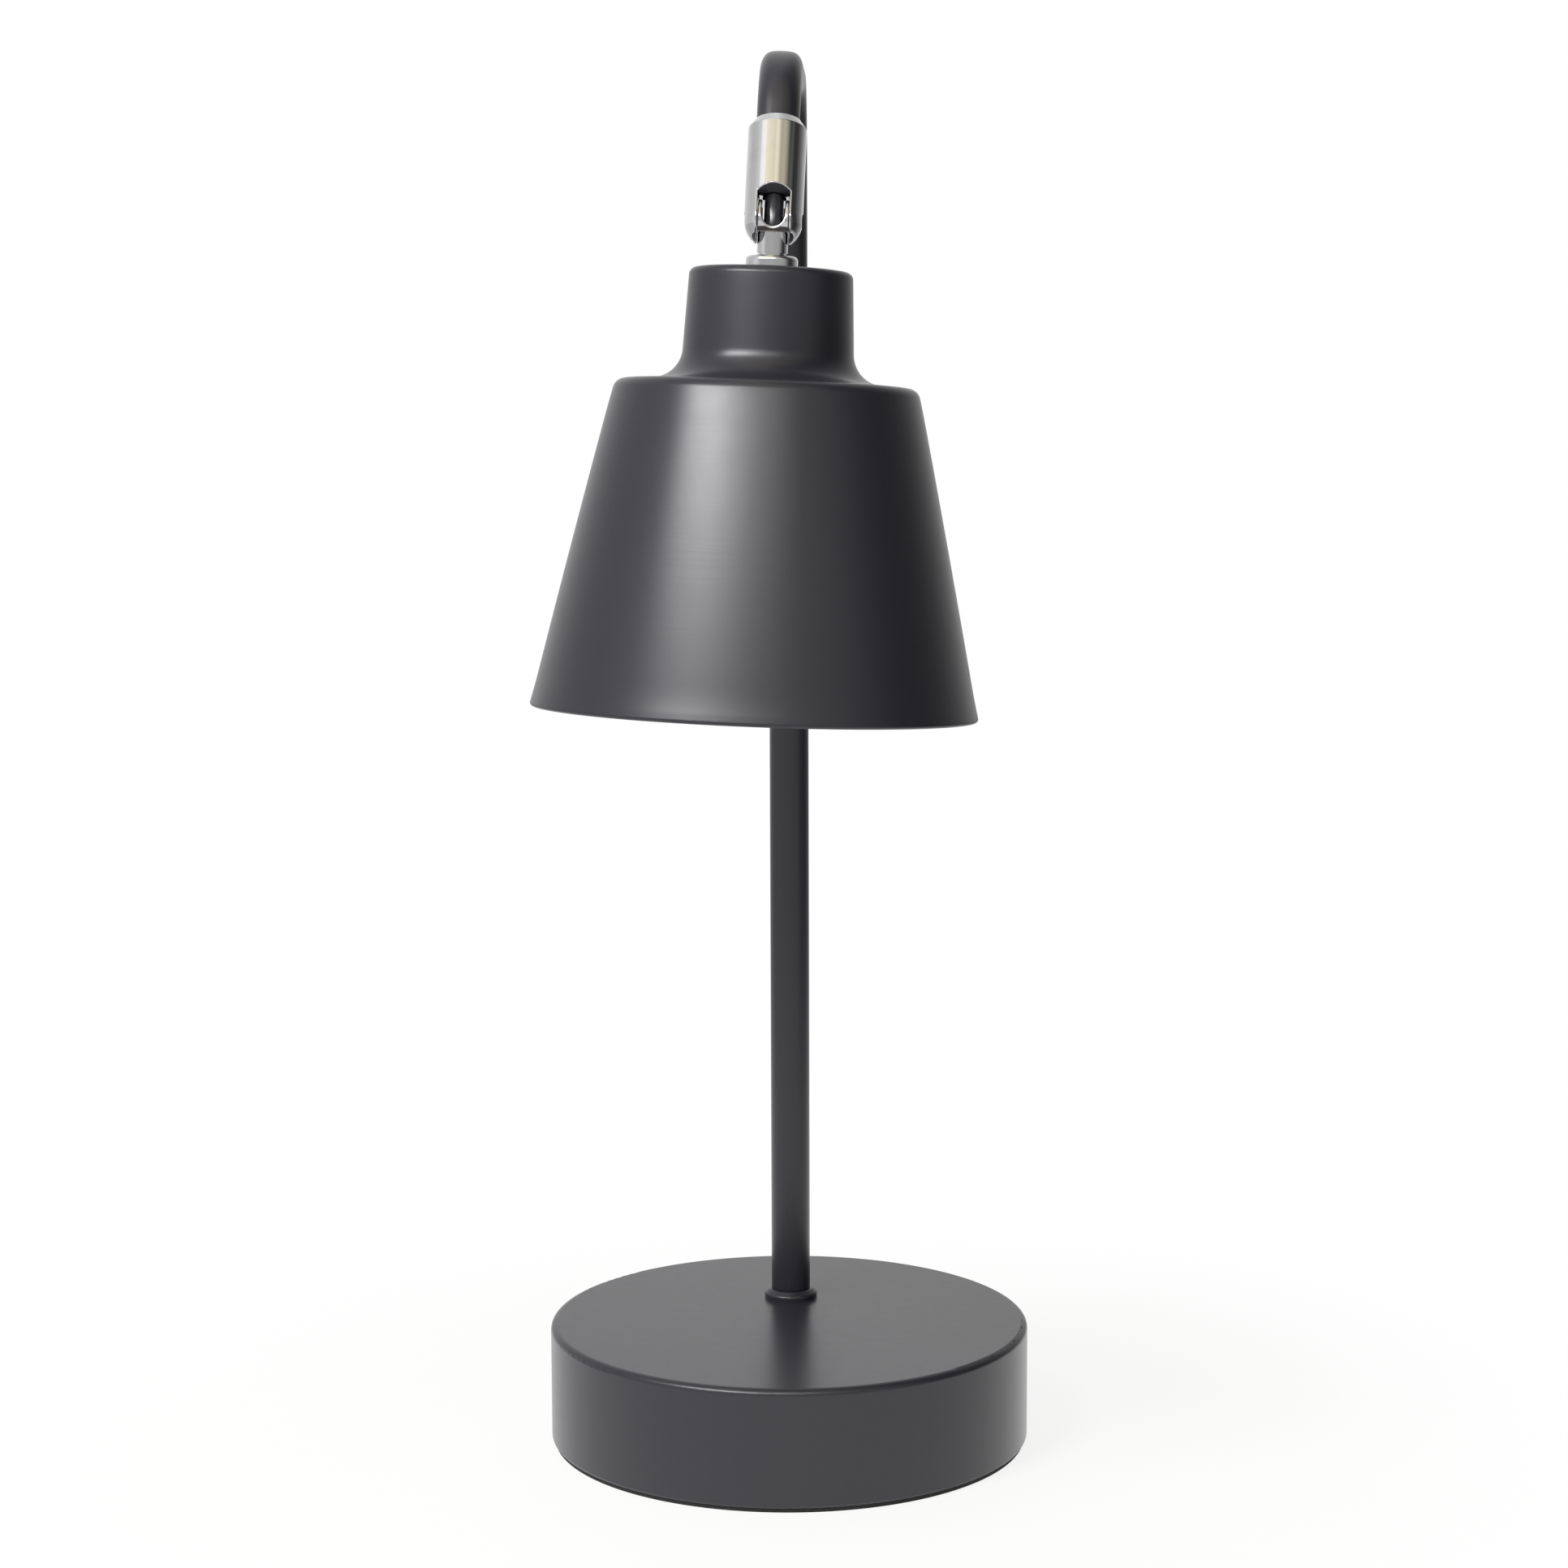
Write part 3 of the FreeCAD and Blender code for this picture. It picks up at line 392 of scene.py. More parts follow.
@dataclass(frozen=True)
class CastIron:
    """Rough grey casting with sand pits."""

    name: str = "cast_iron"
    colour: Colour = (0.09, 0.088, 0.085, 1.0)
    pit: Colour = (0.035, 0.033, 0.032, 1.0)
    sand_scale: float = 700.0
    sand_span: Span = (0.35, 0.6)
    sand_depth: float = 0.0003
    metallic: float = 0.4
    rough: float = 0.75
    rough_fall: float = 0.2

    def build(self) -> bpy.types.Material:
        """Noise at sand size darkens the pits and lifts the skin.

        Returns:
            The new material.
        """
        material, graph = new_material(self.name)
        sand = graph.noise(graph.place(), self.sand_scale, detail=4.0, rough=0.65)
        colour = graph.mix(sand.ramp(*self.sand_span), self.pit, self.colour)
        rough = self.rough - self.rough_fall * sand
        normal = graph.bump(sand, self.sand_depth)
        graph.surface({"Base Color": colour, "Metallic": self.metallic, "Roughness": rough,
                       "Normal": normal})
        return material


@dataclass(frozen=True)
class Moulded:
    """Moulded plastic or rubber with a fine spark grain."""

    name: str
    colour: Colour
    worn: Colour
    rough: float
    grain_scale: float = 1500.0
    grain_depth: float = 0.00003
    grain_rough: float = 0.06
    drift_scale: float = 70.0
    drift_span: Span = (0.35, 0.8)
    drift_rough: float = 0.08

    def build(self) -> bpy.types.Material:
        """Fine noise makes the grain, and a slow one drifts colour and gloss.

        Returns:
            The new material.
        """
        material, graph = new_material(self.name)
        vector = graph.place()
        grain = graph.noise(vector, self.grain_scale)
        drift = graph.noise(vector, self.drift_scale, detail=4.0)
        colour = graph.mix(drift.ramp(*self.drift_span), self.colour, self.worn)
        rough = self.rough + (drift - 0.5) * self.drift_rough + (grain - 0.5) * self.grain_rough
        normal = graph.bump(grain, self.grain_depth)
        graph.surface({"Base Color": colour, "Roughness": rough, "Normal": normal})
        return material


@dataclass(frozen=True)
class OpalGlass:
    """White opal bulb glass, smooth and a little uneven."""

    name: str = "opal_glass"
    colour: Colour = (0.83, 0.82, 0.79, 1.0)
    thin: Colour = (0.76, 0.76, 0.75, 1.0)
    cloud_scale: float = 45.0
    cloud_depth: float = 0.0002
    rough: float = 0.12
    rough_gain: float = 0.06
    rough_scale: float = 90.0
    coat: float = 0.5
    coat_rough: float = 0.05

    def build(self) -> bpy.types.Material:
        """A slow cloud drifts the white, under a glossy coat.

        Returns:
            The new material.
        """
        material, graph = new_material(self.name)
        vector = graph.place()
        cloud = graph.noise(vector, self.cloud_scale, detail=3.0)
        colour = graph.mix(cloud, self.colour, self.thin)
        rough = self.rough + self.rough_gain * graph.noise(vector, self.rough_scale)
        normal = graph.bump(cloud, self.cloud_depth)
        graph.surface({"Base Color": colour, "Roughness": rough, "Normal": normal,
                       "Coat Weight": self.coat, "Coat Roughness": self.coat_rough})
        return material


ZINC = Metal("zinc_plate", (0.55, 0.56, 0.57, 1.0), (0.42, 0.42, 0.40, 1.0),
             rough=0.28, smudge=0.15, lines=0.12)
SHEATH = Moulded("cable_sheath", grey(0.013, 0.007), grey(0.019, 0.008),
                 rough=0.17, grain_scale=300.0, grain_depth=0.00004)


class Shop:
    """Builds each finish once and puts it on CAD nodes and pieces."""

    def __init__(self) -> None:
        """Starts with no material."""
        self.made: Dict[str, bpy.types.Material] = {}

    def material(self, finish: Finish) -> bpy.types.Material:
        """The finish's material, built the first time.

        Args:
            finish: The finish.

        Returns:
            Its material.
        """
        if finish.name not in self.made:
            self.made[finish.name] = finish.build()
        return self.made[finish.name]

    def dress(self, obj: bpy.types.Object, *finishes: Finish) -> None:
        """Gives an object finishes in its material slots.

        Args:
            obj: CAD node or new piece. Its old materials are dropped.
            finishes: One finish for each slot, in order.
        """
        if obj.data.materials:
            obj.data.materials.clear()
        for finish in finishes:
            obj.data.materials.append(self.material(finish))

    def dress_nodes(self, finish: Finish, *names: str) -> None:
        """Gives CAD nodes a finish and reports each.

        Args:
            finish: The finish.
            names: Names of the nodes.
        """
        for name in names:
            self.dress(frame["nodes"][name], finish)
            LOG.info("dressed %s in %s", name, finish.name)

    def mount(self, piece: bpy.types.Object, body: Body, slot: Slot, *nodes: str) -> None:
        """Lets a piece ride on a body and stand for CAD nodes.

        Args:
            piece: The new piece.
            body: Body that it rides on.
            slot: Slot of the record that its finish belongs to.
            nodes: CAD nodes that it replaces.
        """
        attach(piece, body.value)
        self.stand_for(piece, slot, *nodes)

    def stand_for(self, piece: bpy.types.Object, slot: Slot, *nodes: str) -> None:
        """Puts a piece in the place of CAD nodes and reports it.

        Args:
            piece: The new piece, which rides already.
            slot: Slot of the record that its finish belongs to; not used.
            nodes: CAD nodes that it replaces.
        """
        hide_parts(*nodes)
        LOG.info("built %s with %d faces", piece.name, len(piece.data.polygons))


def turn_matrix(lean: float, tilt: float) -> Matrix:
    """Turn that tips a piece forward about X by tilt and then leans it about Y."""
    return Matrix.Rotation(math.radians(lean), 3, "Y") @ Matrix.Rotation(math.radians(-tilt), 3, "X")


def grid_faces(rows: int, columns: int, close_rows: bool, close_columns: bool) -> np.ndarray:
    """Quads of a grid of points, by index arithmetic.

    Args:
        rows: Number of points along the first parameter.
        columns: Number of points along the second parameter.
        close_rows: Whether the last row joins the first.
        close_columns: Whether the last column joins the first.

    Returns:
        One row of four point numbers for each quad.
    """
    row, column = np.meshgrid(np.arange(rows if close_rows else rows - 1),
                              np.arange(columns if close_columns else columns - 1), indexing="ij")
    next_row = (row + 1) % rows
    next_column = (column + 1) % columns
    corners = [row * columns + column, next_row * columns + column,
               next_row * columns + next_column, row * columns + next_column]
    return np.stack([corner.ravel() for corner in corners], axis=1)


def outward(points: np.ndarray, faces: np.ndarray) -> np.ndarray:
    """Quads of a closed piece, all turned over where they enclose a negative volume.

    The volume is a sixth of the sum, over the two triangles of each quad, of the triple product of
    the triangle's corners.

    Args:
        points: Coordinates, one row for each point.
        faces: Point numbers, one row for each quad.

    Returns:
        The quads, facing outwards.
    """
    first, second, third, fourth = (points[faces[:, corner]] for corner in range(4))
    products = np.cross(first, second) * third + np.cross(first, third) * fourth
    return faces if products.sum() > 0 else faces[:, ::-1]


def put_mesh(name: str, points: np.ndarray, faces: Faces,
             slots: Optional[np.ndarray] = None) -> bpy.types.Object:
    """Puts points and faces into a smooth mesh object at the origin.

    Args:
        name: Name of the piece.
        points: Coordinates, one row for each point.
        faces: Point numbers of each face.
        slots: Material slot of each face, or none for the first.

    Returns:
        The new object.
    """
    mesh = bpy.data.meshes.new(name)
    mesh.from_pydata(points.tolist(), [], faces)
    mesh.polygons.foreach_set("use_smooth", np.ones(len(faces), dtype=bool))
    if slots is not None:
        mesh.polygons.foreach_set("material_index", slots.astype(np.int32))
    mesh.update()
    obj = bpy.data.objects.new(name, mesh)
    bpy.context.scene.collection.objects.link(obj)
    return obj


def rounded(corners: Sequence[Sequence[float]], steps: int) -> np.ndarray:
    """Open line through corners, each rounded by a tangent arc.

    The arc's points turn about a centre on the corner's bisector, at the radius over the sine of half
    the angle, from one tangent point to the other.

    Args:
        corners: Coordinates of each corner in order, with the radius of its arc last, or 0 for none.
        steps: Points on each arc.

    Returns:
        Points of the line in order, one row each.
    """
    table = np.array(corners, dtype=float)
    spots = table[:, :-1]
    runs = []
    for index, (spot, radius) in enumerate(zip(spots, table[:, -1])):
        if radius <= 0:
            runs.append(spot[None])
            continue
        back, on = spots[index - 1] - spot, spots[index + 1] - spot
        back, on = back / np.linalg.norm(back), on / np.linalg.norm(on)
        half = math.acos(np.clip(back @ on, -1, 1)) / 2
        middle = (back + on) / np.linalg.norm(back + on)
        side = (on - back) / np.linalg.norm(on - back)
        sweep = np.linspace(-1, 1, steps)[:, None] * (math.pi / 2 - half)
        centre = spot + middle * radius / math.sin(half)
        runs.append(centre + radius * (side * np.sin(sweep) - middle * np.cos(sweep)))
    return np.concatenate(runs)


def refined(outline: np.ndarray, longest: float) -> np.ndarray:
    """The outline with points added on its long runs, spaced evenly along each.

    Args:
        outline: Points of an open line, one row each.
        longest: Longest run that stays as it is.

    Returns:
        Points of the finer line, one row each.
    """
    steps = np.linalg.norm(np.diff(outline, axis=0), axis=1)
    counts = np.maximum(1, np.ceil(steps / longest)).astype(int)
    starts = np.repeat(np.arange(len(steps)), counts)
    inside = np.arange(counts.sum()) - np.repeat(np.cumsum(counts) - counts, counts)
    share = (inside / counts[starts])[:, None]
    spots = outline[starts] * (1 - share) + outline[starts + 1] * share
    return np.concatenate([spots, outline[-1:]])


def turned(outline: np.ndarray, sides: int) -> np.ndarray:
    """Points of an outline turned about Z: (r cos t, r sin t, z) for each turn t.

    Args:
        outline: Points (radius, height).
        sides: Number of turns in the full circle.

    Returns:
        Coordinates, one row for each point, turn by turn within each outline point.
    """
    angle = np.arange(sides) * (2 * np.pi / sides)
    radius, height = outline[:, :1], outline[:, 1:]
    grid = np.stack([radius * np.cos(angle), radius * np.sin(angle), height + 0 * angle], axis=-1)
    return grid.reshape(-1, 3)


def headings(line: np.ndarray) -> np.ndarray:
    """Unit tangents of a line: its differences over the length along it, brought to length 1.

    Args:
        line: Points of an open line, one row each.

    Returns:
        One tangent for each point.
    """
    steps = np.linalg.norm(np.diff(line, axis=0), axis=1)
    along = np.gradient(line, np.concatenate([[0.0], np.cumsum(steps)]), axis=0)
    return along / np.linalg.norm(along, axis=1, keepdims=True)


def swept(line: np.ndarray, side: Sequence[float], radius: np.ndarray) -> np.ndarray:
    """Points of a section carried along a line.

    At each point the section's plane is square to the tangent T. The sideways axis B is the given
    side with its part along T taken out, and N is T cross B. A section point lies at
    r (N cos a + B sin a) for turns a spaced evenly.

    Args:
        line: Points of the line, one row each.
        side: Direction that is sideways all along the line.
        radius: Section radius r, a row for each line point and a column for each turn.

    Returns:
        Coordinates, one row for each point, turn by turn within each line point.
    """
    ahead = headings(line)
    across = np.array(side) - ahead * (ahead @ np.array(side))[:, None]
    across = across / np.linalg.norm(across, axis=1, keepdims=True)
    above = np.cross(ahead, across)
    angle = np.arange(radius.shape[1]) * (2 * np.pi / radius.shape[1])
    ring = above[:, None] * np.cos(angle)[:, None] + across[:, None] * np.sin(angle)[:, None]
    return (line[:, None] + radius[:, :, None] * ring).reshape(-1, 3)


def cable(name: str, line: np.ndarray, side: Sequence[float], sides: int = 40) -> bpy.types.Object:
    """Round cable along a line, with flat ends.

    Args:
        name: Name of the piece.
        line: Points of its middle, one row each.
        side: Direction that is sideways all along the line.
        sides: Number of points round it.

    Returns:
        The new piece.
    """
    points = swept(line, side, np.full((len(line), sides), CABLE_DIAMETER / 2))
    faces = grid_faces(len(line), sides, False, True)
    ring = np.arange(sides)
    ends = [ring.tolist(), (ring[::-1] + len(points) - sides).tolist()]
    return put_mesh(name, points, faces.tolist() + ends)


def placed(points: np.ndarray, turn: Matrix, centre: Sequence[float]) -> np.ndarray:
    """Points turned by a matrix and moved to a centre."""
    return points @ np.array(turn).T + np.array(centre)


@dataclass(frozen=True)
class HeadAxes:
    """Directions of the head, which leans a little to the right of the lamp."""

    pivot: Spot
    lean: float = 2.4
    leg_tilt: float = 20.0
    shade_tilt: float = 3.0

    def down(self, tilt: float) -> np.ndarray:
        """Unit vector down a piece that is tipped forward by tilt."""
        return np.array(turn_matrix(self.lean, tilt) @ Vector((0, 0, -1)))

    @property
    def side(self) -> np.ndarray:
        """Unit vector along the hinge."""
        return np.array(turn_matrix(self.lean, 0) @ Vector((1, 0, 0)))

    def along(self, tilt: float, distance: float) -> np.ndarray:
        """Point at a distance down from the pivot along a tipped piece."""
        return np.array(self.pivot) + self.down(tilt) * distance


@dataclass
class WeightedBase:
    """Drawn cup with its weight, cover plate, pad, cord bush and terminals."""

    shop: Shop

    def build(self) -> None:
        """Dresses the nodes of the base."""
        self.shop.dress_nodes(SatinPaint(), "base_shell")
        self.shop.dress_nodes(CastIron(), "base_weight")
        self.shop.dress_nodes(ZINC, "base_plate", "plate_pillars", "base_plate_screws")
        self.shop.dress_nodes(ZINC, "terminal_screws")
        foam = Moulded("foam_rubber", grey(0.012), grey(0.02), rough=0.85, grain_scale=900.0,
                       grain_depth=0.0002)
        self.shop.dress_nodes(foam, "base_pad")
        bush = Moulded("black_bush", grey(0.012), grey(0.02), rough=0.5)
        self.shop.dress_nodes(bush, "cord_grommet")
        nylon = Moulded("white_nylon", grey(0.68), grey(0.6), rough=0.45)
        self.shop.dress_nodes(nylon, "terminal_block")


@dataclass
class TubeStand:
    """Bent tube, pressed flat along the top of its arm, with its foot ring, nipple and cable."""

    shop: Shop
    axes: HeadAxes
    foot: Spot = (0.0, 0.0253, 0.0383)
    arm_level: float = 0.429
    arm_front: float = -0.052704
    bend: float = 0.020
    tip_above_pivot: float = 0.0133
    radius: float = 0.00625
    wall: float = 0.0012
    press: float = 0.00515
    press_ease: float = 0.0021
    press_end: float = 0.412
    press_fade: float = 0.25
    softness: float = 10.0
    cord_level: float = 0.0098
    terminal_face: float = 0.04605
    cord_bend: float = 0.0128
    sides: int = 64
    arc_points: int = 36
    longest_run: float = 0.004

    def line(self, start: Sequence[Sequence[float]], end_above_pivot: float) -> np.ndarray:
        """Middle of the tube from a start to a point on the leg.

        Args:
            start: First corners of the line, with the radius of each arc last.
            end_above_pivot: Distance of the end above the pivot.

        Returns:
            Points of the line, one row each.
        """
        leg_end = self.axes.along(self.axes.leg_tilt, -end_above_pivot)
        corners = [*start, (0.0, self.foot[1], self.arm_level, self.bend),
                   (0.0, self.arm_front, self.arm_level, self.bend), (*leg_end, 0.0)]
        return refined(rounded(corners, self.arc_points), self.longest_run)

    def tube(self) -> bpy.types.Object:
        """Tube with a soft flat on the outside of the arm that runs out round both bends.

        A round of radius R and a flat at a distance d blend as (R^-p + (cos a / d)^p)^(-1/p), where a is
        the turn from the outside. The flat's distance grows with 1 - cos b over a bend of angle b, and
        then with the height fallen, until the section is round.

        Returns:
            The new piece.
        """
        line = self.line([(*self.foot, 0.0)], self.tip_above_pivot)
        turn_left = 1.0 + headings(line)[:, 1]
        fallen = np.maximum(self.press_end - line[:, 2], 0.0)
        flat = (self.press + self.press_ease * turn_left + self.press_fade * fallen)[:, None]
        toward = np.maximum(np.cos(np.arange(self.sides) * (2 * np.pi / self.sides)), 0.0)
        powers = self.radius ** -self.softness + (toward / flat) ** self.softness
        outer = powers ** (-1 / self.softness)
        inner = outer[::-1] - self.wall
        outside = swept(line, self.axes.side, outer)
        points = np.concatenate([outside, swept(line[::-1], -self.axes.side, inner)])
        faces = grid_faces(2 * len(line), self.sides, True, True)
        return put_mesh("pole_skin", points, outward(points, faces))

    def build(self) -> None:
        """Builds tube and cable and dresses the nodes of the stand."""
        tube = self.tube()
        self.shop.dress(tube, SatinPaint())
        self.shop.mount(tube, Body.STAND, Slot.PAINT, "pole")
        start = [(0.0, self.terminal_face, self.cord_level, 0.0),
                 (0.0, self.foot[1], self.cord_level, self.cord_bend)]
        supply = cable("supply_cable", self.line(start, CABLE_JOIN), self.axes.side)
        self.shop.dress(supply, SHEATH)
        self.shop.mount(supply, Body.STAND, Slot.FLEX, "supply_flex")
        self.shop.dress_nodes(SatinPaint(), "pole_foot_ring")
        self.shop.dress_nodes(ZINC, "pole_nipple", "nipple_washer", "nipple_nut")


@dataclass
class Knuckle:
    """Chromed hollow joint: collar, tongue, screws and the cable that bends in it."""

    shop: Shop
    axes: HeadAxes
    cable_below: float = 0.035
    cable_bend: float = 0.03
    bend_above: float = 0.0065
    bend_below: float = 0.003
    arc_points: int = 16
    longest_run: float = 0.0006

    def chrome(self, name: str, tilt: float) -> Metal:
        """Polished plating whose tool lines follow the piece's own axis.

        Args:
            name: Name of the finish.
            tilt: How far the piece is tipped forward.

        Returns:
            The finish.
        """
        turn = turn_matrix(self.axes.lean, tilt).to_euler()
        return Metal(name, (0.70, 0.70, 0.71, 1.0), (0.64, 0.64, 0.65, 1.0), rough=0.035, smudge=0.05,
                     lines=0.02, centre=self.axes.pivot, turn=tuple(turn))

    def bridge(self) -> None:
        """Cable through the joint, from the leg round a bend at the pivot down into the shade."""
        leg, shade = self.axes.leg_tilt, self.axes.shade_tilt
        corners = [(*self.axes.along(leg, -CABLE_JOIN), 0.0), (*self.axes.pivot, self.cable_bend),
                   (*self.axes.along(shade, self.cable_below), 0.0)]
        line = refined(rounded(corners, self.arc_points), self.longest_run)
        piece = cable("knuckle_cable", line, self.axes.side)
        self.shop.dress(piece, SHEATH)
        start, end = self.axes.along(leg, -self.bend_above), self.axes.along(shade, self.bend_below)
        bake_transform(piece)
        self.shop.stand_for(piece, Slot.FLEX, "shade_flex")

    def build(self) -> None:
        """Builds the bridging cable and dresses the nodes of the knuckle."""
        self.bridge()
        self.shop.dress_nodes(self.chrome("collar_chrome", self.axes.leg_tilt), "knuckle_collar")
        self.shop.dress_nodes(self.chrome("tongue_chrome", self.axes.shade_tilt), "knuckle_tongue")
        black = Metal("blackened_steel", grey(0.06), grey(0.09), rough=0.35, smudge=0.15, lines=0.08)
        self.shop.dress_nodes(black, "collar_grub_screw", "pivot_screws")


@dataclass
class SpunShade:
    """Spun shade with neck, shoulder, cone and rolled rim: grey outside, white inside."""

    shop: Shop
    axes: HeadAxes
    wall: float = 0.0008
    hole: float = 0.0052
    neck_top: float = -0.0142
    neck_top_radius: float = 0.0236
    neck_edge: float = 0.0021
    neck_radius: float = 0.02515
    neck_fillet: float = 0.009
    shoulder_level: float = -0.0469
    shoulder_rise: float = 0.0012
    shoulder_radius: float = 0.04375
    shoulder_edge: float = 0.0036
    crown: float = 0.00018
    crown_span: float = 0.62
    tuck: Bend = (0.0074, 0.00019, 0.34)
    rim_level: float = -0.1421
    rim_radius: float = 0.06545
    flare: Bend = (0.0065, 0.00017, 0.2)
    rim_roll: float = 0.0009
    rim_return: float = 0.0024
    ring_depth: float = 1.7
    sides: int = 240
    arc_points: int = 18
    longest_run: float = 0.0025

    def outline(self) -> Tuple[np.ndarray, int]:
        """Closed section of the sheet.

        The outer line runs from the hole over neck, shoulder and cone to the rim's inner edge. The
        inner one is the same line moved one wall along its normal, the way back.

        The side of the cone tucks in towards the shoulder, is crowned in its middle and flares at the
        rim. Its crown is an arc over a share s of the side, so the corner of that arc stands out by
        the crown over 1 - s / 2, and the radius is s times the square of half the side over that.

        Returns:
            The section's points, and how many of them lie on the outer line.
        """
        half = (self.shoulder_level - self.rim_level) / 2
        bulge = self.crown / (1 - self.crown_span / 2)
        middle = (self.rim_radius + self.shoulder_radius) / 2 + bulge
        slope = (self.rim_radius - self.shoulder_radius) / (2 * half)
        tuck_below, tuck_out, tuck_arc = self.tuck
        flare_above, flare_in, flare_arc = self.flare
        corners = [
            (self.hole, self.neck_top, 0.0),
            (self.neck_top_radius, self.neck_top, self.neck_edge),
            (self.neck_radius, self.shoulder_level + self.shoulder_rise, self.neck_fillet),
            (self.shoulder_radius, self.shoulder_level, self.shoulder_edge),
            (self.shoulder_radius + slope * tuck_below + tuck_out,
             self.shoulder_level - tuck_below, tuck_arc),
            (middle, self.rim_level + half, self.crown_span * half ** 2 / bulge),
            (self.rim_radius - slope * flare_above - flare_in,
             self.rim_level + flare_above, flare_arc),
            (self.rim_radius, self.rim_level, self.rim_roll),
            (self.rim_radius - self.rim_return, self.rim_level, 0.0),
        ]
        outer = refined(rounded(corners, self.arc_points), self.longest_run)
        along = headings(outer)
        inner = outer + self.wall * np.stack([along[:, 1], -along[:, 0]], axis=1)
        return np.concatenate([outer, inner[::-1]]), len(outer)

    def build(self) -> None:
        """Turns the section about the shade's axis and paints its two sides."""
        section, outer = self.outline()
        turn = turn_matrix(self.axes.lean, self.axes.shade_tilt)
        points = placed(turned(section, self.sides), turn, self.axes.pivot)
        faces = outward(points, grid_faces(len(section), self.sides, True, True))
        slots = (np.arange(len(section)) >= outer - 1).repeat(self.sides)
        shade = put_mesh("shade_skin", points, faces, slots)
        way = tuple(turn.to_euler())
        paint = SatinPaint("spun_paint", centre=self.axes.pivot, turn=way, rings=self.ring_depth)
        self.shop.dress(shade, paint, InnerPaint(centre=self.axes.pivot, turn=way))
        self.shop.mount(shade, Body.SHADE, Slot.PAINT, "shade_shell")


@dataclass
class LampholderAndBulb:
    """Lampholder in the neck and the bulb in it."""

    shop: Shop

    def build(self) -> None:
        """Dresses the nodes of lampholder and bulb."""
        self.shop.dress_nodes(ZINC, "holder_washer", "holder_nut")
        resin = Moulded("black_resin", grey(0.010), grey(0.018), rough=0.32)
        self.shop.dress_nodes(resin, "holder_cap", "holder_body", "bulb_insulator")
        ceramic = Moulded("glazed_ceramic", grey(0.74), grey(0.66), rough=0.25)
        self.shop.dress_nodes(ceramic, "holder_insert")
        brass = Metal("plain_brass", (0.62, 0.42, 0.14, 1.0), (0.40, 0.26, 0.10, 1.0),
                      rough=0.22, smudge=0.2, lines=0.08)
        self.shop.dress_nodes(brass, "holder_thread", "holder_contact", "bulb_contact")
        nickel = Metal("nickel_cap", (0.62, 0.60, 0.56, 1.0), (0.5, 0.48, 0.44, 1.0),
                       rough=0.2, smudge=0.15, lines=0.06)
        self.shop.dress_nodes(nickel, "bulb_cap")
        self.shop.dress_nodes(OpalGlass(), "bulb_globe")


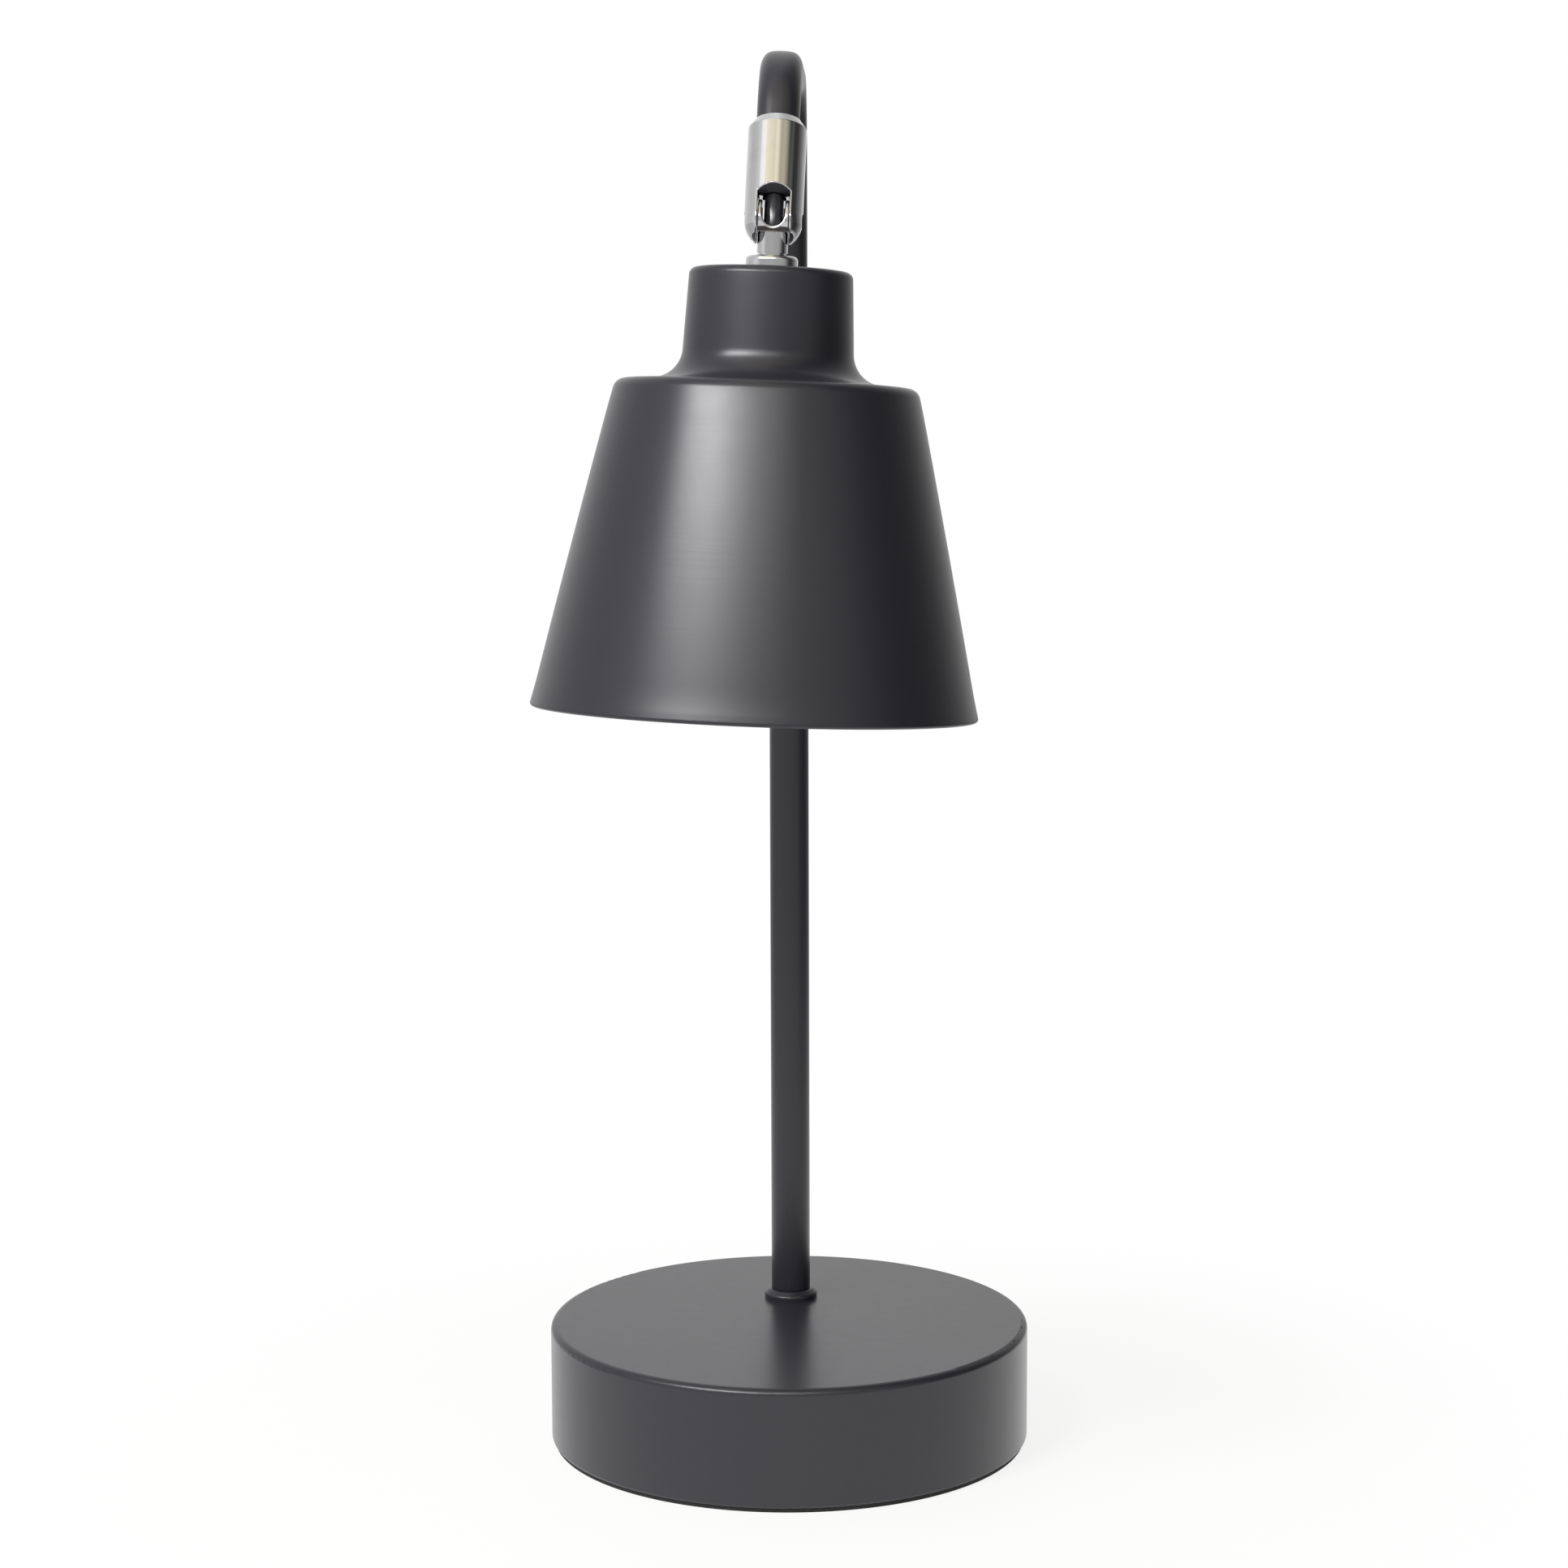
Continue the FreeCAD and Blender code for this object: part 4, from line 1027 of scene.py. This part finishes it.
@dataclass
class Studio:
    """White room with a pale floor, soft light and the photograph's camera."""

    picture: int = 1932
    focal_pixels: float = 4263.0
    sensor: float = 36.0
    clip: Span = (0.01, 50.0)
    camera_at: Spot = (0.0252, -1.0774, 0.3548)
    yaw: float = 1.397
    pitch: float = 7.597
    roll: float = -0.194
    head: Spot = (0.0, -0.07, 0.32)
    key_power: float = 11.0
    key_bearing: float = -40.0
    key_height: float = 47.0
    key_distance: float = 1.2
    key_size: Span = (0.35, 0.3)
    strip_light: float = 38.5
    strip_distance: float = 1.25
    strip_points: int = 48
    strip_depth: float = 1.5
    strip_heights: Span = (26.7, 33.7)
    strip_bearings: Tuple[Bearing, ...] = (
        (-67, 0.0, 0), (-59, 0.5, 0), (-51, 0.9, 0), (-35, 1.0, 0), (-19, 0.54, 0), (-4, 0.25, 0),
        (12, 0.13, 0), (30, 0.0, 0))
    floor_reach: float = 4.0
    floor_tones: Span = (0.86, 0.9)
    floor_cloud: float = 3.0
    floor_white: float = 0.85
    shadow_span: Span = (0.1, 0.3)
    floor_gloss: float = 1.22
    floor_far: float = 0.78
    far_span: Span = (0.2, 0.9)
    cream: Spot = (1.0, 0.91, 0.70)
    wall_bearings: Tuple[Bearing, ...] = (
        (-180, 1.0, 0), (-150, 0.82, 0), (-112, 0.62, 0), (-91, 0.66, 0), (-73, 0.85, 0), (-57, 1.0, 0),
        (0, 1.0, 0), (22, 0.92, 0), (45, 0.88, 0), (55, 0.68, 0), (62, 0.46, 0), (72, 0.17, 0),
        (85, 0.04, 0), (100, 0.05, 0), (120, 0.2, 0), (140, 0.46, 0), (156, 0.64, 0), (180, 1.0, 0))
    high_bearings: Tuple[Bearing, ...] = (
        (-180, 0.92, 0), (-110, 0.66, 0), (-85, 0.76, 0), (-75, 0.8, 0), (-69, 1.15, 0),
        (-54, 1.28, 0.1), (-44, 1.15, 0.9), (-24, 1.05, 1), (-12, 1.0, 1), (-6, 0.94, 1), (1, 1.08, 1),
        (8, 1.12, 1), (16, 0.9, 1), (22, 0.62, 1), (28, 0.54, 1), (37, 0.6, 1), (43, 0.57, 1),
        (50, 0.46, 1), (58, 0.26, 1), (66, 0.06, 0.5), (85, 0.04, 0), (97, 0.06, 0), (120, 0.2, 0),
        (143, 0.46, 0), (180, 0.92, 0))
    high_rise: Span = (0.42, 0.52)
    front_level: float = 0.5
    front_span: Span = (0.2, 0.7)
    front_rise: Span = (0.26, 0.44)

    def camera(self) -> None:
        """Camera from its place and its turns: yaw about Z, pitch down, roll about the view."""
        data = bpy.data.cameras.new("photo_camera")
        data.sensor_width = self.sensor
        data.lens = self.sensor * self.focal_pixels / self.picture
        data.clip_start, data.clip_end = self.clip
        obj = bpy.data.objects.new("photo_camera", data)
        yaw, pitch, roll = (math.radians(angle) for angle in (self.yaw, self.pitch, self.roll))
        right = Vector((math.cos(yaw), math.sin(yaw), 0.0))
        level = Vector((-math.sin(yaw), math.cos(yaw), 0.0))
        up = level * math.sin(pitch) + Vector((0.0, 0.0, math.cos(pitch)))
        back = Vector((0.0, 0.0, math.sin(pitch))) - level * math.cos(pitch)
        side = right * math.cos(roll) + up * math.sin(roll)
        top = up * math.cos(roll) - right * math.sin(roll)
        turn = Matrix((side, top, back)).transposed().to_4x4()
        obj.matrix_world = Matrix.Translation(self.camera_at) @ turn
        bpy.context.scene.collection.objects.link(obj)
        bpy.context.scene.camera = obj

    @staticmethod
    def ways(bearing: Union[float, np.ndarray], height: Union[float, np.ndarray]) -> np.ndarray:
        """Unit vectors (sin b cos h, -cos b cos h, sin h) for bearings b and height angles h.

        Args:
            bearing: Degrees right of the front.
            height: Degrees above level.

        Returns:
            The vectors, with X, Y and Z on the last axis.
        """
        turn, rise = np.broadcast_arrays(np.radians(bearing), np.radians(height))
        level = np.cos(rise)
        return np.stack([np.sin(turn) * level, -np.cos(turn) * level, np.sin(rise)], axis=-1)

    @staticmethod
    def straight(graph: Graph) -> Sock:
        """Tells which rays show the background straight or through glass.

        Args:
            graph: Tree that gets the nodes.

        Returns:
            1 for such rays and 0 for others.
        """
        camera = graph.node("ShaderNodeLightPath", out="Is Camera Ray")
        through = graph.node("ShaderNodeLightPath", out="Is Transmission Ray")
        return camera.math("MAXIMUM", camera, through)

    def tint(self, level: float, warmth: float) -> Colour:
        """Light of a brightness, from white at a warmth of 0 to cream at 1."""
        return (*(level * (1 + warmth * (part - 1)) for part in self.cream), 1.0)

    def by_bearing(self, graph: Graph, vector: Sock, table: Sequence[Bearing]) -> Sock:
        """Light by bearing, which is the arc tangent of X over minus Y.

        Args:
            graph: Tree that gets the nodes.
            vector: Direction as seen from the lamp.
            table: The light at some bearings, from left to right.

        Returns:
            Colour of the light, where 1 is white.
        """
        across, along = graph.part(vector, "X"), graph.part(vector, "Y")
        bearing = across.math("ARCTAN2", across, -1.0 * along) / (2 * math.pi) + 0.5
        stops = [((degrees + 180) / 360, self.tint(level, warmth)) for degrees, level, warmth in table]
        return graph.node("ShaderNodeValToRGB", {"stops": stops}, {0: bearing})

    def world(self) -> None:
        """White room: full white where it is seen straight, and as bright as its walls for the light.

        The walls have one row of bearings low down and one high up, mixed over a span of the sine of
        the height angle. Below such a span the front is darker.
        """
        world = bpy.data.worlds.new("white_room")
        bpy.context.scene.world = world
        world.use_nodes = True
        graph = Graph(world.node_tree)
        way = graph.node("ShaderNodeTexCoord", out="Generated")
        low = self.by_bearing(graph, way, self.wall_bearings)
        high = self.by_bearing(graph, way, self.high_bearings)
        rise = graph.part(way, "Z")
        walls = graph.mix(rise.ramp(*self.high_rise), low, high)
        ahead = (-1.0 * graph.part(way, "Y")).ramp(*self.front_span)
        level = 1.0 - (1.0 - self.front_level) * ahead * (1.0 - rise.ramp(*self.front_rise))
        room = graph.node("ShaderNodeBackground", None, {"Color": walls, "Strength": level})
        white = graph.node("ShaderNodeBackground", None, {"Color": grey(1.0), "Strength": 1.0})
        both = graph.node("ShaderNodeMixShader", None, {0: self.straight(graph), 1: room, 2: white})
        graph.node("ShaderNodeOutputWorld", None, {"Surface": both})

    def floor(self) -> None:
        """White floor, with a faint shadow near the lamp.

        It is matt for the light, and in reflections it is white near the lamp and as dark as the
        walls far off. Seen straight, it is mostly plain white.
        """
        reach = self.floor_reach
        corners = np.array([(-reach, -reach, 0), (reach, -reach, 0), (reach, reach, 0), (-reach, reach, 0)])
        floor = put_mesh("floor", corners, np.array([[0, 1, 2, 3]]))
        material, graph = new_material("floor_white")
        place = graph.place()
        cloud = graph.noise(place, self.floor_cloud)
        tone = graph.mix(cloud, *(grey(level) for level in self.floor_tones))
        matt = graph.node("ShaderNodeBsdfDiffuse", None, {"Color": tone})
        white = graph.node("ShaderNodeEmission", None, {"Color": grey(1.0), "Strength": 1.0})
        away = graph.node("ShaderNodeVectorMath", {"operation": "LENGTH"}, {0: place}, out="Value")
        far = away.ramp(*self.far_span)
        distant = self.floor_far * self.by_bearing(graph, place, self.wall_bearings)
        mirrored = self.floor_gloss * (1.0 - far) + far * distant
        glow = graph.node("ShaderNodeEmission", None, {"Color": grey(1.0), "Strength": mirrored})
        glossy = graph.node("ShaderNodeLightPath", out="Is Glossy Ray")
        lit = graph.node("ShaderNodeMixShader", None, {0: glossy, 1: matt, 2: glow})
        plain = self.floor_white + (1.0 - self.floor_white) * away.ramp(*self.shadow_span)
        shown = self.straight(graph) * plain
        both = graph.node("ShaderNodeMixShader", None, {0: shown, 1: lit, 2: white})
        graph.node("ShaderNodeOutputMaterial", None, {"Surface": both})
        material.cycles.emission_sampling = "NONE"
        floor.data.materials.append(material)

    def strip(self) -> None:
        """Long curved strip of light, brightest left of its middle, that only first reflections show."""
        left, right = self.strip_bearings[0][0], self.strip_bearings[-1][0]
        bearing = np.linspace(left, right, self.strip_points)[:, None]
        ways = self.ways(bearing, np.array(self.strip_heights))
        points = np.array(self.head) + self.strip_distance * ways.reshape(-1, 3)
        strip = put_mesh("light_strip", points, grid_faces(self.strip_points, 2, False, False))
        material, graph = new_material("light_strip")
        light = self.by_bearing(graph, graph.place(self.head), self.strip_bearings)
        depth = graph.node("ShaderNodeLightPath", out="Glossy Depth")
        power = depth.math("LESS_THAN", depth, self.strip_depth) * self.strip_light
        glow = graph.node("ShaderNodeEmission", None, {"Color": light, "Strength": power})
        graph.node("ShaderNodeOutputMaterial", None, {"Surface": glow})
        strip.data.materials.append(material)
        strip.visible_camera = False
        strip.visible_diffuse = False
        strip.visible_shadow = False
        strip.visible_transmission = False

    def key(self) -> None:
        """Rectangular soft light that gloss does not show, pointed at the head of the lamp."""
        data = bpy.data.lights.new("key", "AREA")
        data.shape = "RECTANGLE"
        data.size, data.size_y = self.key_size
        data.energy = self.key_power
        obj = bpy.data.objects.new("key", data)
        away = Vector(self.ways(self.key_bearing, self.key_height)) * self.key_distance
        turn = (-away).to_track_quat("-Z", "Y").to_matrix().to_4x4()
        obj.matrix_world = Matrix.Translation(Vector(self.head) + away) @ turn
        obj.visible_glossy = False
        bpy.context.scene.collection.objects.link(obj)

    def build(self) -> None:
        """Sets up camera, room, floor, light and view."""
        self.camera()
        self.world()
        self.floor()
        self.key()
        self.strip()
        bpy.context.scene.view_settings.view_transform = "Standard"


def main() -> None:
    """Builds the studio and the sub-assemblies in order."""
    logging.basicConfig(level=logging.INFO, format="%(message)s")
    shop = Shop()
    axes = HeadAxes(tuple(frame["joints"][0]["pos_m"]))
    Studio().build()
    assemblies = (WeightedBase(shop), TubeStand(shop, axes), Knuckle(shop, axes), SpunShade(shop, axes),
                  LampholderAndBulb(shop))
    for assembly in assemblies:
        assembly.build()


if __name__ == "__main__":
    main()
